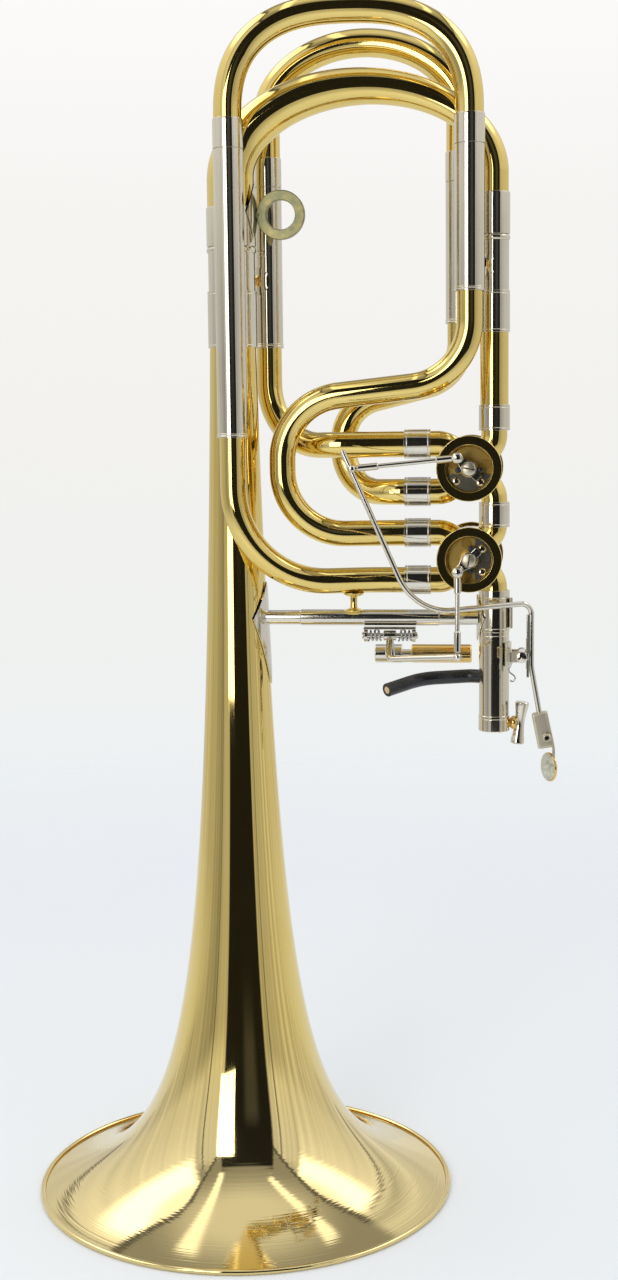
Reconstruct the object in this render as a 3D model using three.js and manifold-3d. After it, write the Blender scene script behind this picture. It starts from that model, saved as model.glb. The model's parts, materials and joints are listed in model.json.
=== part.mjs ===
// Bass trombone: bell section with two rotary valves, in millimetres, +Z up.
// It stands on the rim of its bell. Places are measured from the bell's axis.
import * as THREE from 'three';
import { mergeVertices } from 'three/addons/utils/BufferGeometryUtils.js';
import Module from 'manifold-3d';

const wasm = await Module();
wasm.setup();

// How finely the round forms are divided
const bellSides = 26;
const tubeSides = 10;
const turnedSides = 14;
const rodSides = 8;
const bendStepAngle = Math.PI / 8;
const archSteps = 9;
const weldDistance = 1e-4;

// Clearances shared by all pieces
const solderGap = 0.35;
const slideGap = 0.25;
const seam = 0.3;
const runningGap = 0.3;
const springTurnGap = 0.55;
const cutOverrun = 1;

// Bell
const rimRadius = 120.65;
const rimWireRadius = 1.5;
const rimSeatWidth = 1.2;
const bellWall = 0.6;
const throatRadius = 12.9;
const flareStart = 486;
const flareSharpness = 20;
const flarePower = 0.6;
const flareSteps = 11;
const flareSpacingPower = 2.3;
const bellTail = 14;

// Main tuning slide: the wide leg stands over the bell, the narrow leg over the neckpipe
const neckX = 145.6;
const mainWall = 0.45;
const largeFerruleRadius = 13.75;
const largeOuterRadius = 13.05;
const largeBeadRadius = 13.85;
const largeFerruleTop = 517.2;
const largeOuterTop = 538;
const largeBeadTop = 541.3;
const largeCapTop = 563;
const smallFerruleRadius = 8.5;
const smallOuterRadius = 8;
const smallBeadRadius = 8.6;
const smallFerruleBase = 492.3;
const smallFerruleTop = 514.7;
const smallOuterTop = 541.8;
const smallBeadTop = 544.8;
const smallCapTop = 567.6;
const socketDepth = 11;
const mainLegDrop = 38;
const mainBowBase = 578.2;
const mainBowRise = 47.9;
const mainBowLargeRadius = 13.2;
const mainBowSmallRadius = 7.7;
const mainBowTaperShare = 0.85;

// Valve loops: a front pair of tubes from the lower valve, a rear pair from the upper valve
const loopRadius = 7.25;
const loopWall = 0.5;
const sleeveRadius = 8.15;
const sleeveWall = 0.5;
const ringHeight = 2.2;
const ringStand = 0.35;
const capRadius = 8.4;
const bowRadius = 7.7;
const bowWall = 0.5;
const legDrop = 66;
const legWall = 0.4;
const frontLeftX = 2.8;
const frontLeftY = -24;
const frontRightX = 132.5;
const frontRightY = -17;
const frontLeftBase = 436.5;
const frontRightBase = 513.7;
const frontSeamZ = 590.8;
const frontCapTop = 606.9;
const frontBowBase = 607.4;
const frontBowRise = 55.3;
const frontBowFullness = 2.55;
const rearLeftX = 17.5;
const rearLeftY = 21;
const rearRightX = 126.4;
const rearRightY = 17.2;
const rearLeftBase = 486.8;
const rearRightBase = 498.5;
const rearSeamZ = 575.7;
const rearCapTop = 592.2;
const rearBowBase = 613;
const rearBowRise = 40;
const sleeveSocket = 7;

// Rotary valves, turned about axes along Y
const portOffset = 13.2;
const valveX = neckX - portOffset;
const upperValveZ = 418.6;
const lowerValveZ = 369.3;
const valveFront = -31;
const recessDepth = 6.5;
const frontWall = 5;
const casingRearY = 22.5;
const ringRadius = 17.65;
const ringDepth = 4.2;
const casingRadius = 16.9;
const recessRadius = 12.7;
const rotorBore = 15.6;
const rotorRadius = 15.1;
const rotorHalfLength = 11;
const passageAcross = 5.3;
const passageAlong = 6.4;
const knuckleBend = 11.5;
const shaftRadius = 3;
const shaftBore = 3.3;
const shaftFront = -35;
const bearingThickness = 5;
const rearCapDepth = 8.5;
const rearCapWall = 0.9;
const plateThickness = 1.4;
const bumperRadius = 1.6;
const bumperCircle = 6;
const bumperSpread = THREE.MathUtils.degToRad(82);
const bumperHeight = 6.6;
const stopTailAngle = THREE.MathUtils.degToRad(45);

// Stop arms on the rotor shafts and the ball linkages
const armThrow = 8.4;
const armBack = -29.2;
const armFront = -33.4;
const armHubRadius = 4.3;
const armWidth = 3.4;
const tailLength = 7.6;
const pinRadius = 2.2;
const linkY = -40;
const ballRadius = 3;
const pinGap = 0.35;
const clampHeadHeight = 1;
const linkSleeveRadius = 1.9;
const linkRodRadius = 1.25;
const linkSleeveLength = 11.5;

// Joints of the tubing between the valves
const portFerruleReach = 22;
const portFerruleLength = 14.5;
const portFerruleOuter = valveX - portFerruleReach;
const portFerruleInner = portFerruleOuter - portFerruleLength;
const portFerruleRadius = 8.2;
const neckRadius = 7.8;
const neckWall = 0.5;
const neckFerruleRise = 20.3;
const neckFerruleBase = upperValveZ + neckFerruleRise;
const neckFerruleHeight = 13.9;
const neckFerruleTop = neckFerruleBase + neckFerruleHeight;
const linkFerruleRise = 16.3;
const linkFerruleHeight = 13.8;
const linkFerruleBase = lowerValveZ + linkFerruleRise;
const linkFerruleTop = linkFerruleBase + linkFerruleHeight;
const neckFerruleRadius = 8.6;

// Slide receiver
const receiverDrop = 19;
const receiverLength = 79.4;
const receiverTop = lowerValveZ - receiverDrop;
const receiverBase = receiverTop - receiverLength;
const receiverRadius = 8.45;
const receiverTopRadius = 8.7;
const receiverTopHeight = 23.3;
const receiverTopStep = receiverTop - receiverTopHeight;
const receiverCollarHeight = 8.6;
const receiverCollarRadius = 8.75;
const receiverBore = 7.4;
const receiverSocketRadius = 7.6;
const receiverSocketDepth = 5;

// Bends of the loops: where their runs lie and how tight they turn
const frontSRunZ = 461;
const frontSRunRise = 5.4;
const frontSLeftX = 28.9;
const frontSLeftY = -12;
const frontSRadius = 35;
const frontSLeanY = -2;
const frontSExitRun = 57.1;
const frontSExitX = frontSLeftX + frontSExitRun;
const frontSExitRadius = 80;
const rearSRunZ = 461;
const rearSRunRise = 8;
const rearSLeftX = 60.3;
const rearSLeftY = 16.2;
const rearSRadius = 24;
const rearSExitRun = 28.2;
const rearSExitX = rearSLeftX + rearSExitRun;
const rearSExitRadius = 26;
const frontReturnRadius = 53;
const frontReturnExitX = 75;
const frontReturnExitRadius = 60;
const rearReturnRadius = 35;
const rearReturnExitX = 54;
const rearReturnExitRadius = 28;

// Brace from the bell to the receiver, with its saddles and post
const braceY = -2;
const braceDrop = 15.3;
const braceZ = receiverTop - braceDrop;
const braceRadius = 4.55;
const braceEndRadius = 4.1;
const braceEndLength = 22;
const kiteThickness = 0.9;
const kiteRise = 20.3;
const kiteTop = braceZ + kiteRise;
const kiteDrop = 37.7;
const kiteBottom = braceZ - kiteDrop;
const kiteHalfWidth = 13.5;
const receiverKiteHalfHeight = 13;
const receiverKiteHalfWidth = 7;
const postRadius = 2;
const postX = 67;
const postSaddleRadius = 6;
const postSaddleFoot = 1.6;
const postSaddleCrown = 2.4;
const crossPostRadius = 3.4;
const crossPostZ = 524;
const rightPostZ = 528;
const crossSaddleRadius = 7.6;

// Hand rest
const handrestRodRadius = 2.2;
const handrestRadius = 3.9;
const handrestWall = 1.35;
const handrestStartY = 9;
const handrestRise = 28.6;
const handrestZ = receiverBase + handrestRise;
const handrestFirstReach = 12.6;
const handrestFirstX = neckX - handrestFirstReach;
const handrestFirstY = 16;
const handrestSecondReach = 41.6;
const handrestSecondX = neckX - handrestSecondReach;
const handrestSecondY = 15;
const handrestEndReach = 60.1;
const handrestEndX = neckX - handrestEndReach;
const handrestEndY = -2;
const handrestEndDrop = 5.9;
const handrestEndZ = handrestZ - handrestEndDrop;
const handrestBend = 24;
const handrestFoot = 5;

// Thumb lever
const thumbPivotReach = 15.4;
const thumbPivotX = neckX + thumbPivotReach;
const thumbPivotRise = 43.9;
const thumbPivotZ = receiverBase + thumbPivotRise;
const thumbHubRadius = 3.1;
const thumbHubFront = -17;
const thumbHubRear = -8;
const thumbPinRadius = 1.6;
const thumbPinGap = 0.3;
const thumbRodRadius = 1.5;
const thumbBallX = 70.2;
const thumbBallY = -42;
const thumbBallRise = 0.7;
const thumbBallZ = upperValveZ + thumbBallRise;
const thumbBallRadius = 2.3;
const thumbTipRise = 8.5;
const thumbTipRun = 4.7;
const thumbKneeX = 103.6;
const thumbKneeY = -39.5;
const thumbKneeRise = 26.2;
const thumbKneeZ = thumbPivotZ + thumbKneeRise;
const thumbKneeRadius = 30;
const thumbShoulderReach = 5.2;
const thumbShoulderX = thumbPivotX + thumbShoulderReach;
const thumbShoulderY = -14;
const thumbShoulderRise = 29.5;
const thumbShoulderZ = thumbPivotZ + thumbShoulderRise;
const thumbShoulderRadius = 6;
const thumbHipDrop = 5.8;
const thumbHipZ = thumbPivotZ - thumbHipDrop;
const thumbHipRadius = 30;
const thumbEndReach = 4.8;
const thumbEndX = thumbShoulderX + thumbEndReach;
const thumbEndY = -13;
const thumbEndDrop = 33.3;
const thumbEndZ = thumbPivotZ - thumbEndDrop;
const hingeStripDrop = 6.3;
const hingeStripLength = 35;
const hingeStripWidth = 7;
const hingeStripThickness = 1.5;
const thumbBlockWidth = 8.6;
const thumbBlockDepth = 8;
const thumbBlockHeight = 20;
const thumbBlockChamfer = 1.6;
const thumbBlockDrop = 8;
const thumbBlockTilt = THREE.MathUtils.degToRad(11);
const setScrewRadius = 2.4;
const setScrewHeight = 3;
const setScrewDrop = 3.5;
const setScrewSide = 2.4;
const paddleStripThickness = 1.5;
const paddleStripWidth = 8.5;
const paddleStripBulge = 3.4;
const paddleStripInset = 1;
const paddleReachShare = 0.7;
const paddleReach = 5;
const paddleX = thumbEndX + paddleReach;
const paddleDrop = 28.9;
const paddleZ = thumbEndZ - paddleDrop;
const paddleRadius = 8.2;
const paddleThickness = 2.6;
const paddleTurn = THREE.MathUtils.degToRad(28);
const saddleLugThickness = 1.7;
const saddleLugGap = 0.3;
const saddleHeight = 13;
const saddleThickness = 1;
const saddleHalfAngle = THREE.MathUtils.degToRad(52);
const thumbSpringWire = 0.5;
const thumbSpringTurns = 3;
const thumbSpringStand = 1.2;
const thumbSpringTail = 9;

// Finger lever
const fingerPivotDrop = 9.8;
const fingerPivotZ = braceZ - fingerPivotDrop;
const fingerPivotY = -6;
const fingerHubX = 87.5;
const fingerHubLength = 7;
const fingerHubRadius = 2.9;
const fingerPinRadius = 1.4;
const fingerLugSpread = 13.5;
const fingerLugLeft = fingerHubX - fingerLugSpread;
const fingerLugRight = fingerHubX + fingerLugSpread;
const fingerLugThickness = 2;
const fingerLugRadius = 3.6;
const fingerPlateDrop = 4.9;
const fingerPlateTop = braceZ - fingerPlateDrop;
const fingerPlateThickness = 1.2;
const fingerPlateDepth = 8;
const fingerRodRadius = 1.9;
const fingerKneeY = -20;
const fingerKneeDrop = 11.5;
const fingerKneeZ = fingerPivotZ - fingerKneeDrop;
const fingerKneeRadius = 5;
const fingerBallInset = 6.1;
const fingerBallX = valveX - fingerBallInset;
const fingerBallDrop = 7.8;
const fingerBallZ = fingerPivotZ - fingerBallDrop;
const fingerBallRadius = 2.3;
const fingerRearY = 34;
const fingerRearDrop = 15.2;
const fingerRearZ = fingerPivotZ - fingerRearDrop;
const fingerClampReach = 11.5;
const fingerClampLeft = fingerHubX - fingerClampReach;
const fingerClampLength = 16;
const fingerClampRight = fingerClampLeft + fingerClampLength;
const fingerGripGap = 5.2;
const fingerGripLength = 35.1;
const fingerGripLeft = fingerClampRight + fingerGripGap;
const fingerGripRight = fingerGripLeft + fingerGripLength;
const fingerGripRadius = 5.4;
const fingerSpindleRadius = 2.4;
const fingerCoreOverlap = 1;
const fingerCoreLength = 8;
const fingerBraceClearance = 9;
const fingerSpringWire = 0.55;
const fingerSpringRadius = 2.7;
const fingerSpringTurns = 3;
const fingerSpringTail = 2;

// Clamp screw on the receiver
const clampPostReach = 6.9;
const clampPostX = neckX + clampPostReach;
const clampRise = 4.4;
const clampZ = receiverBase + clampRise;
const clampPostRadius = 2.6;
const clampBallRadius = 4.2;
const clampBallReach = 10.4;
const clampBallX = neckX + clampBallReach;
const clampBarReach = 14.4;
const clampBarX = neckX + clampBarReach;
const clampBarHalf = 12;
const clampBarEndRadius = 3.4;
const clampBarWaistRadius = 2;
const clampBarTilt = THREE.MathUtils.degToRad(7);
const clampStemRadius = 1.5;

// Plain round ornament on the main bow
const ornamentPlateRadius = 15;
const ornamentPlateHalfWidth = 6;
const ornamentRadius = 13.5;
const ornamentHole = 8;
const ornamentDepth = 3.6;
const ornamentCentreX = 28;
const ornamentZ = 558.5;
const ornamentStem = 1.8;
const ornamentPlateZ = 560;

// Overall reach, used to centre the part over its origin
const rightReach = 183;
const originShift = (rightReach - rimRadius) / 2;

// Materials
function metal(colour, roughness, metalness = 1) {
  return new THREE.MeshStandardMaterial({ color: colour, roughness, metalness });
}
const brass = 0xd9b25c;
const nickel = 0xcfc8ba;
const steel = 0xb9b9bb;
const darkRubber = 0x16161a;
const agedBrass = 0x7f7650;
const pearl = 0xe2dfd6;
const cork = 0xb98a5a;

const instrument = new THREE.Group();
instrument.position.x = -originShift;

function addPiece(name, solid, colour, roughness = 0.2, metalness = 1, parent = instrument) {
  const data = solid.getMesh();
  const geometry = new THREE.BufferGeometry();
  const places = new THREE.BufferAttribute(new Float32Array(data.vertProperties), 3);
  geometry.setAttribute('position', places);
  geometry.setIndex(new THREE.BufferAttribute(new Uint32Array(data.triVerts), 1));
  geometry.computeVertexNormals();
  const mesh = new THREE.Mesh(geometry, metal(colour, roughness, metalness));
  mesh.name = name;
  parent.add(mesh);
  return mesh;
}

// Turning a closed geometry into a solid for joins and cuts
function solidOf(geometry) {
  const bare = geometry.clone();
  bare.deleteAttribute('normal');
  bare.deleteAttribute('uv');
  const welded = mergeVertices(bare, weldDistance);
  const p = welded.attributes.position;
  const corners = [];
  let volume = 0;
  const a = new THREE.Vector3();
  const b = new THREE.Vector3();
  const c = new THREE.Vector3();
  for (let i = 0; i < welded.index.count; i += 3) {
    const [u, v, w] = [0, 1, 2].map((k) => welded.index.getX(i + k));
    if (u === v || v === w || w === u) continue;
    corners.push(u, v, w);
    a.fromBufferAttribute(p, u);
    b.fromBufferAttribute(p, v);
    c.fromBufferAttribute(p, w);
    volume += a.dot(b.clone().cross(c));
  }
  if (volume < 0) {
    for (let i = 0; i < corners.length; i += 3) {
      [corners[i], corners[i + 1]] = [corners[i + 1], corners[i]];
    }
  }
  const vertProperties = new Float32Array(p.array);
  const triVerts = new Uint32Array(corners);
  return new wasm.Manifold(new wasm.Mesh({ numProp: 3, vertProperties, triVerts }));
}

function joined(...solids) {
  return solids.reduce((whole, next) => whole.add(next));
}
// A cut can leave a loose sliver: the piece itself is the largest body
function mainBody(solid) {
  const bodies = solid.decompose();
  return bodies.reduce((most, next) => (next.volume() > most.volume() ? next : most));
}

// Turned pieces: a closed profile of [radius, height] pairs about a main axis
function turned(profile, axis = 'z', sides = turnedSides) {
  const points = profile.map(([r, h]) => new THREE.Vector2(r, h));
  const first = points[0];
  const last = points[points.length - 1];
  if (first.x > 0 || last.x > 0) points.push(first.clone());
  const geometry = new THREE.LatheGeometry(points, sides);
  if (axis === 'z') geometry.rotateX(Math.PI / 2);
  if (axis === 'x') geometry.rotateZ(-Math.PI / 2);
  return geometry;
}
function turnedSolid(profile, axis = 'z', sides = turnedSides, at = [0, 0, 0]) {
  return solidOf(turned(profile, axis, sides).translate(...at));
}
function rod(radius, from, to, axis = 'z', at = [0, 0, 0], sides = rodSides) {
  return turnedSolid([[0, from], [radius, from], [radius, to], [0, to]], axis, sides, at);
}
function pipe(outer, inner, from, to, axis = 'z', at = [0, 0, 0], sides = turnedSides) {
  const profile = [[inner, from], [outer, from], [outer, to], [inner, to]];
  return turnedSolid(profile, axis, sides, at);
}
function block(width, depth, height, at) {
  return solidOf(new THREE.BoxGeometry(width, depth, height).translate(...at));
}
function ball(radius, at, sides = 10) {
  const geometry = new THREE.SphereGeometry(radius, sides, sides / 2);
  return solidOf(geometry.translate(...at));
}
function mirroredAngle(angle, radius) {
  return [radius * Math.cos(angle), radius * Math.sin(angle)];
}

// A route of stations: straights are one step long, bends are sampled on their arcs
class Route extends THREE.Curve {
  constructor(places, directions) {
    super();
    this.places = places;
    this.directions = directions;
  }
  get steps() {
    return this.places.length - 1;
  }
  getPoint(share, target = new THREE.Vector3()) {
    return target.copy(this.places[Math.round(share * this.steps)]);
  }
  getPointAt(share, target) {
    return this.getPoint(share, target);
  }
  getTangentAt(share, target = new THREE.Vector3()) {
    return target.copy(this.directions[Math.round(share * this.steps)]);
  }
}

// A bent route: corners are [x, y, z, bend radius], the ends have no radius
function bentRoute(corners, stepAngle = bendStepAngle) {
  const at = corners.map(([x, y, z]) => new THREE.Vector3(x, y, z));
  const places = [];
  const directions = [];
  const legs = [];
  for (let i = 0; i + 1 < at.length; i += 1) {
    legs.push(at[i + 1].clone().sub(at[i]).normalize());
  }
  places.push(at[0]);
  directions.push(legs[0]);
  for (let i = 1; i + 1 < at.length; i += 1) {
    const radius = corners[i][3];
    const into = legs[i - 1];
    const out = legs[i];
    const turn = into.angleTo(out);
    const reach = radius * Math.tan(turn / 2);
    const start = at[i].clone().addScaledVector(into, -reach);
    const side = out.clone().addScaledVector(into, -out.dot(into)).normalize();
    const steps = Math.ceil(turn / stepAngle);
    for (let k = 0; k <= steps; k += 1) {
      const angle = (turn * k) / steps;
      const place = start.clone().addScaledVector(into, radius * Math.sin(angle));
      place.addScaledVector(side, radius * (1 - Math.cos(angle)));
      const direction = into.clone().multiplyScalar(Math.cos(angle));
      direction.addScaledVector(side, Math.sin(angle));
      places.push(place);
      directions.push(direction);
    }
  }
  places.push(at[at.length - 1]);
  directions.push(legs[legs.length - 1]);
  return new Route(places, directions);
}

// An arch between two upright legs: straight feet and half an oval between them, an
// ellipse where its fullness is 2 and squarer in the shoulders above that
function archRoute(left, right, feet, base, rise, fullness = 2, steps = archSteps) {
  const middle = new THREE.Vector2(left[0], left[1]).add(new THREE.Vector2(...right));
  middle.multiplyScalar(1 / 2);
  const half = new THREE.Vector2(right[0] - middle.x, right[1] - middle.y);
  const power = 2 / fullness;
  const places = [new THREE.Vector3(left[0], left[1], feet[0])];
  for (let k = 0; k <= steps; k += 1) {
    const angle = Math.PI * (1 - k / steps);
    const across = Math.sign(Math.cos(angle)) * Math.abs(Math.cos(angle)) ** power;
    const x = middle.x + half.x * across;
    const y = middle.y + half.y * across;
    const share = k % steps === 0 ? 0 : Math.sin(angle) ** power;
    places.push(new THREE.Vector3(x, y, base + rise * share));
  }
  places.push(new THREE.Vector3(right[0], right[1], feet[1]));
  const up = new THREE.Vector3(0, 0, 1);
  const down = new THREE.Vector3(0, 0, -1);
  const directions = places.map((place, k) => {
    if (k < 2) return up;
    if (k > steps) return down;
    return places[k + 1].clone().sub(places[k - 1]).normalize();
  });
  return new Route(places, directions);
}

function sectionOf(across, along, sides) {
  const points = [];
  for (let k = 0; k < sides; k += 1) {
    const angle = (2 * Math.PI * k) / sides;
    points.push(new THREE.Vector2(across * Math.cos(angle), along * Math.sin(angle)));
  }
  return points;
}
function alongRoute(route, outer, bore = 0, sides = tubeSides) {
  const shape = new THREE.Shape(sectionOf(outer, outer, sides));
  if (bore > 0) shape.holes.push(new THREE.Path(sectionOf(bore, bore, sides)));
  const options = { steps: route.steps, extrudePath: route, bevelEnabled: false };
  return new THREE.ExtrudeGeometry(shape, options);
}
function tube(route, outer, wall, sides = tubeSides) {
  return solidOf(alongRoute(route, outer, outer - wall, sides));
}
function bar(route, radius, sides = rodSides) {
  return solidOf(alongRoute(route, radius, 0, sides));
}

// A tube that grows wider or narrower: each ring is scaled about its own station
function taperedTube(route, startRadius, endRadius, wall, sides) {
  const geometry = alongRoute(route, 1, 1 / 2, sides);
  const lengths = [0];
  for (let i = 1; i <= route.steps; i += 1) {
    lengths.push(lengths[i - 1] + route.places[i].distanceTo(route.places[i - 1]));
  }
  const first = lengths[1];
  const taperLength = (lengths[route.steps - 1] - first) * mainBowTaperShare;
  const p = geometry.attributes.position;
  const vertex = new THREE.Vector3();
  for (let i = 0; i < p.count; i += 1) {
    vertex.fromBufferAttribute(p, i);
    let nearest = 0;
    for (let k = 1; k <= route.steps; k += 1) {
      const here = vertex.distanceToSquared(route.places[k]);
      if (here < vertex.distanceToSquared(route.places[nearest])) nearest = k;
    }
    const centre = route.places[nearest];
    const share = THREE.MathUtils.clamp((lengths[nearest] - first) / taperLength, 0, 1);
    const outer = startRadius + (endRadius - startRadius) * share;
    const isOuter = vertex.distanceTo(centre) > 3 / 4;
    const radius = isOuter ? outer : outer - wall;
    vertex.sub(centre).normalize().multiplyScalar(radius).add(centre);
    p.setXYZ(i, vertex.x, vertex.y, vertex.z);
  }
  return solidOf(geometry);
}

// Bell: a flaring skin of even wall with a wired rim
const flareEnd = (1 + flareStart / flareSharpness) ** -flarePower;
const rimWireTop = 2 * rimWireRadius;
const skinRim = rimRadius - 1.4 * rimWireRadius;
function bellRadius(z) {
  const share = ((1 + z / flareSharpness) ** -flarePower - flareEnd) / (1 - flareEnd);
  return throatRadius + (skinRim - throatRadius) * share;
}
function bellSlope(z) {
  const fall = -flarePower / flareSharpness;
  const rate = (fall * (1 + z / flareSharpness) ** (-flarePower - 1)) / (1 - flareEnd);
  return (skinRim - throatRadius) * rate;
}
const skinBase = rimWireRadius;
function bellSkin(offset, low, high, steps) {
  const points = [];
  for (let k = 0; k <= steps; k += 1) {
    const z = low + (high - low) * (k / steps) ** flareSpacingPower;
    const slope = bellSlope(z);
    const lean = Math.hypot(1, slope);
    points.push([bellRadius(z) + offset / lean, skinBase + z - (offset * slope) / lean]);
  }
  return points;
}
const rimRadiusShares = [-0.75, -0.25, 0.45, 1, 1, 0.6, 0.6, -0.2];
const rimHeightShares = [1.45, 2, 1.85, 1.2, 0.5, 0.1, 0, 0];
function bellProfile() {
  const outside = bellSkin(0, 0, flareStart, flareSteps).reverse();
  const inside = bellSkin(-bellWall, 0, flareStart, flareSteps);
  const wireCentre = rimRadius - rimWireRadius;
  const rimWire = rimRadiusShares.map((share, k) => [
    wireCentre + share * rimWireRadius,
    rimHeightShares[k] * rimWireRadius,
  ]);
  rimWire.push([wireCentre - rimSeatWidth, 0]);
  rimWire.push([wireCentre - rimSeatWidth - bellWall / 2, bellWall / 2]);
  const top = flareStart + bellTail;
  const tail = [[throatRadius - bellWall, top], [throatRadius, top]];
  return [...outside, ...rimWire, ...inside, ...tail];
}
addPiece('bell', turnedSolid(bellProfile(), 'z', bellSides), brass, 0.12);

// Saddles: thin plates that follow a round surface and are cut to a kite or a disc
function kitePrism(halfHeight, halfWidth, from, to, at) {
  const shape = new THREE.Shape();
  shape.moveTo(0, halfHeight[0]);
  shape.lineTo(-halfWidth, 0);
  shape.lineTo(0, -halfHeight[1]);
  shape.lineTo(halfWidth, 0);
  shape.closePath();
  const geometry = new THREE.ExtrudeGeometry(shape, { depth: to - from, bevelEnabled: false });
  geometry.rotateX(Math.PI / 2).rotateZ(Math.PI / 2);
  return solidOf(geometry.translate(from + at[0], at[1], at[2]));
}
function postBetween(start, end, radius, from, to, sides = rodSides) {
  const way = end.clone().sub(start).normalize();
  const geometry = turned([[0, from], [radius, from], [radius, to], [0, to]], 'z', sides);
  const turn = new THREE.Quaternion().setFromUnitVectors(new THREE.Vector3(0, 0, 1), way);
  geometry.applyQuaternion(turn).translate(start.x, start.y, start.z);
  return solidOf(geometry);
}

// Outer tube of the main slide with the posts that carry a loop's sleeves
function crossPost(mainX, mainRadius, sleeve, z) {
  const start = new THREE.Vector3(mainX, 0, z);
  const end = new THREE.Vector3(sleeve[0], sleeve[1], z);
  const span = start.distanceTo(end);
  const reach = span - sleeveRadius - seam;
  const post = postBetween(start, end, crossPostRadius, mainRadius - mainWall, reach);
  const low = z - crossSaddleRadius;
  const high = z + crossSaddleRadius;
  const inner = sleeveRadius + seam;
  const shell = pipe(inner + kiteThickness, inner, low, high, 'z', [sleeve[0], sleeve[1], 0]);
  const cutter = postBetween(start, end, crossSaddleRadius, mainRadius, span);
  return post.add(shell.intersect(cutter));
}
const largeSocket = largeFerruleRadius - mainWall;
const largeOuterBore = largeOuterRadius - mainWall;
const smallSocket = smallFerruleRadius - mainWall;
const smallOuterBore = smallOuterRadius - mainWall;
const largeBody = turnedSolid([
  [largeSocket, flareStart + seam],
  [largeFerruleRadius, flareStart + seam],
  [largeFerruleRadius, largeFerruleTop],
  [largeOuterRadius, largeFerruleTop],
  [largeOuterRadius, largeOuterTop],
  [largeBeadRadius, largeOuterTop],
  [largeBeadRadius, largeBeadTop],
  [largeOuterBore, largeBeadTop],
  [largeOuterBore, flareStart + bellTail + seam],
  [largeSocket, flareStart + bellTail + seam],
], 'z', turnedSides);
const rearLeft = [rearLeftX, rearLeftY];
const rearRight = [rearRightX, rearRightY];
const frontLeft = [frontLeftX, frontLeftY];
const frontRight = [frontRightX, frontRightY];
const largePosts = [rearLeft, frontLeft].map((sleeve) =>
  crossPost(0, largeOuterRadius, sleeve, crossPostZ));
addPiece('main_outer_large', joined(largeBody, ...largePosts), nickel, 0.15);

const smallBody = turnedSolid([
  [smallSocket, smallFerruleBase],
  [smallFerruleRadius, smallFerruleBase],
  [smallFerruleRadius, smallFerruleTop],
  [smallOuterRadius, smallFerruleTop],
  [smallOuterRadius, smallOuterTop],
  [smallBeadRadius, smallOuterTop],
  [smallBeadRadius, smallBeadTop],
  [smallOuterBore, smallBeadTop],
  [smallOuterBore, smallFerruleBase + socketDepth],
  [smallSocket, smallFerruleBase + socketDepth],
], 'z', turnedSides, [neckX, 0, 0]);
const smallPosts = [rearRight, frontRight].map((sleeve) =>
  crossPost(neckX, smallOuterRadius, sleeve, rightPostZ));
addPiece('main_outer_small', joined(smallBody, ...smallPosts), nickel, 0.15);

// Main tuning slide: two legs and a bow that tapers between them
function slideLeg(capBase, capTop, capOuter, legOuter, wall, drop, at, socketBore) {
  const shoulder = capTop - socketDepth;
  return turnedSolid([
    [legOuter - wall, capBase - drop],
    [legOuter, capBase - drop],
    [legOuter, capBase],
    [capOuter, capBase],
    [capOuter, capTop],
    [socketBore, capTop],
    [socketBore, shoulder],
    [legOuter - wall, shoulder],
  ], 'z', turnedSides, [...at, 0]);
}
const largeCapBase = largeBeadTop + seam;
const smallCapBase = smallBeadTop + seam;
const largeLeg = slideLeg(largeCapBase, largeCapTop, largeFerruleRadius,
  largeOuterBore - slideGap, mainWall, mainLegDrop, [0, 0], largeSocket + mainWall / 3);
const smallLeg = slideLeg(smallCapBase, smallCapTop, smallFerruleRadius,
  smallOuterBore - slideGap, mainWall, mainLegDrop, [neckX, 0], smallSocket);
addPiece('main_leg_large', largeLeg, nickel, 0.15);
addPiece('main_leg_small', smallLeg, nickel, 0.15);
const mainBowFeet = [largeCapTop - socketDepth + seam, smallCapTop - socketDepth + seam];
const mainBowRoute = archRoute([0, 0], [neckX, 0], mainBowFeet, mainBowBase, mainBowRise);
const mainBow = taperedTube(mainBowRoute, mainBowLargeRadius - mainWall / 3,
  mainBowSmallRadius, mainWall, tubeSides);
addPiece('main_bow', mainBow, brass, 0.12);

// Plain ring ornament with its lens-shaped plate on the wide leg's cap
const ornamentInner = largeFerruleRadius + seam;
const lensBlank = pipe(ornamentInner + kiteThickness, ornamentInner,
  ornamentPlateZ - ornamentPlateRadius, ornamentPlateZ + ornamentPlateRadius);
const lensHalf = kitePrism([ornamentPlateRadius, ornamentPlateRadius], ornamentPlateHalfWidth,
  0, 2 * ornamentInner, [0, 0, ornamentPlateZ]);
const lensPlate = lensBlank.intersect(lensHalf);
const ringAt = [ornamentCentreX, 0, ornamentZ];
const ornamentRing = pipe(ornamentRadius, ornamentHole, -ornamentDepth / 2, ornamentDepth / 2,
  'y', ringAt);
const ringLeft = ornamentCentreX - ornamentHole - ornamentStem;
const ornamentStub = rod(ornamentStem, ornamentInner + kiteThickness / 2, ringLeft, 'x',
  [0, 0, ornamentZ]);
const ornamentClear = rod(ornamentInner, largeOuterTop, mainBowBase, 'z', [0, 0, 0], turnedSides);
const ornament = joined(lensPlate, ornamentRing, ornamentStub).subtract(ornamentClear);
addPiece('main_ornament', ornament, agedBrass, 0.35);

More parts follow.
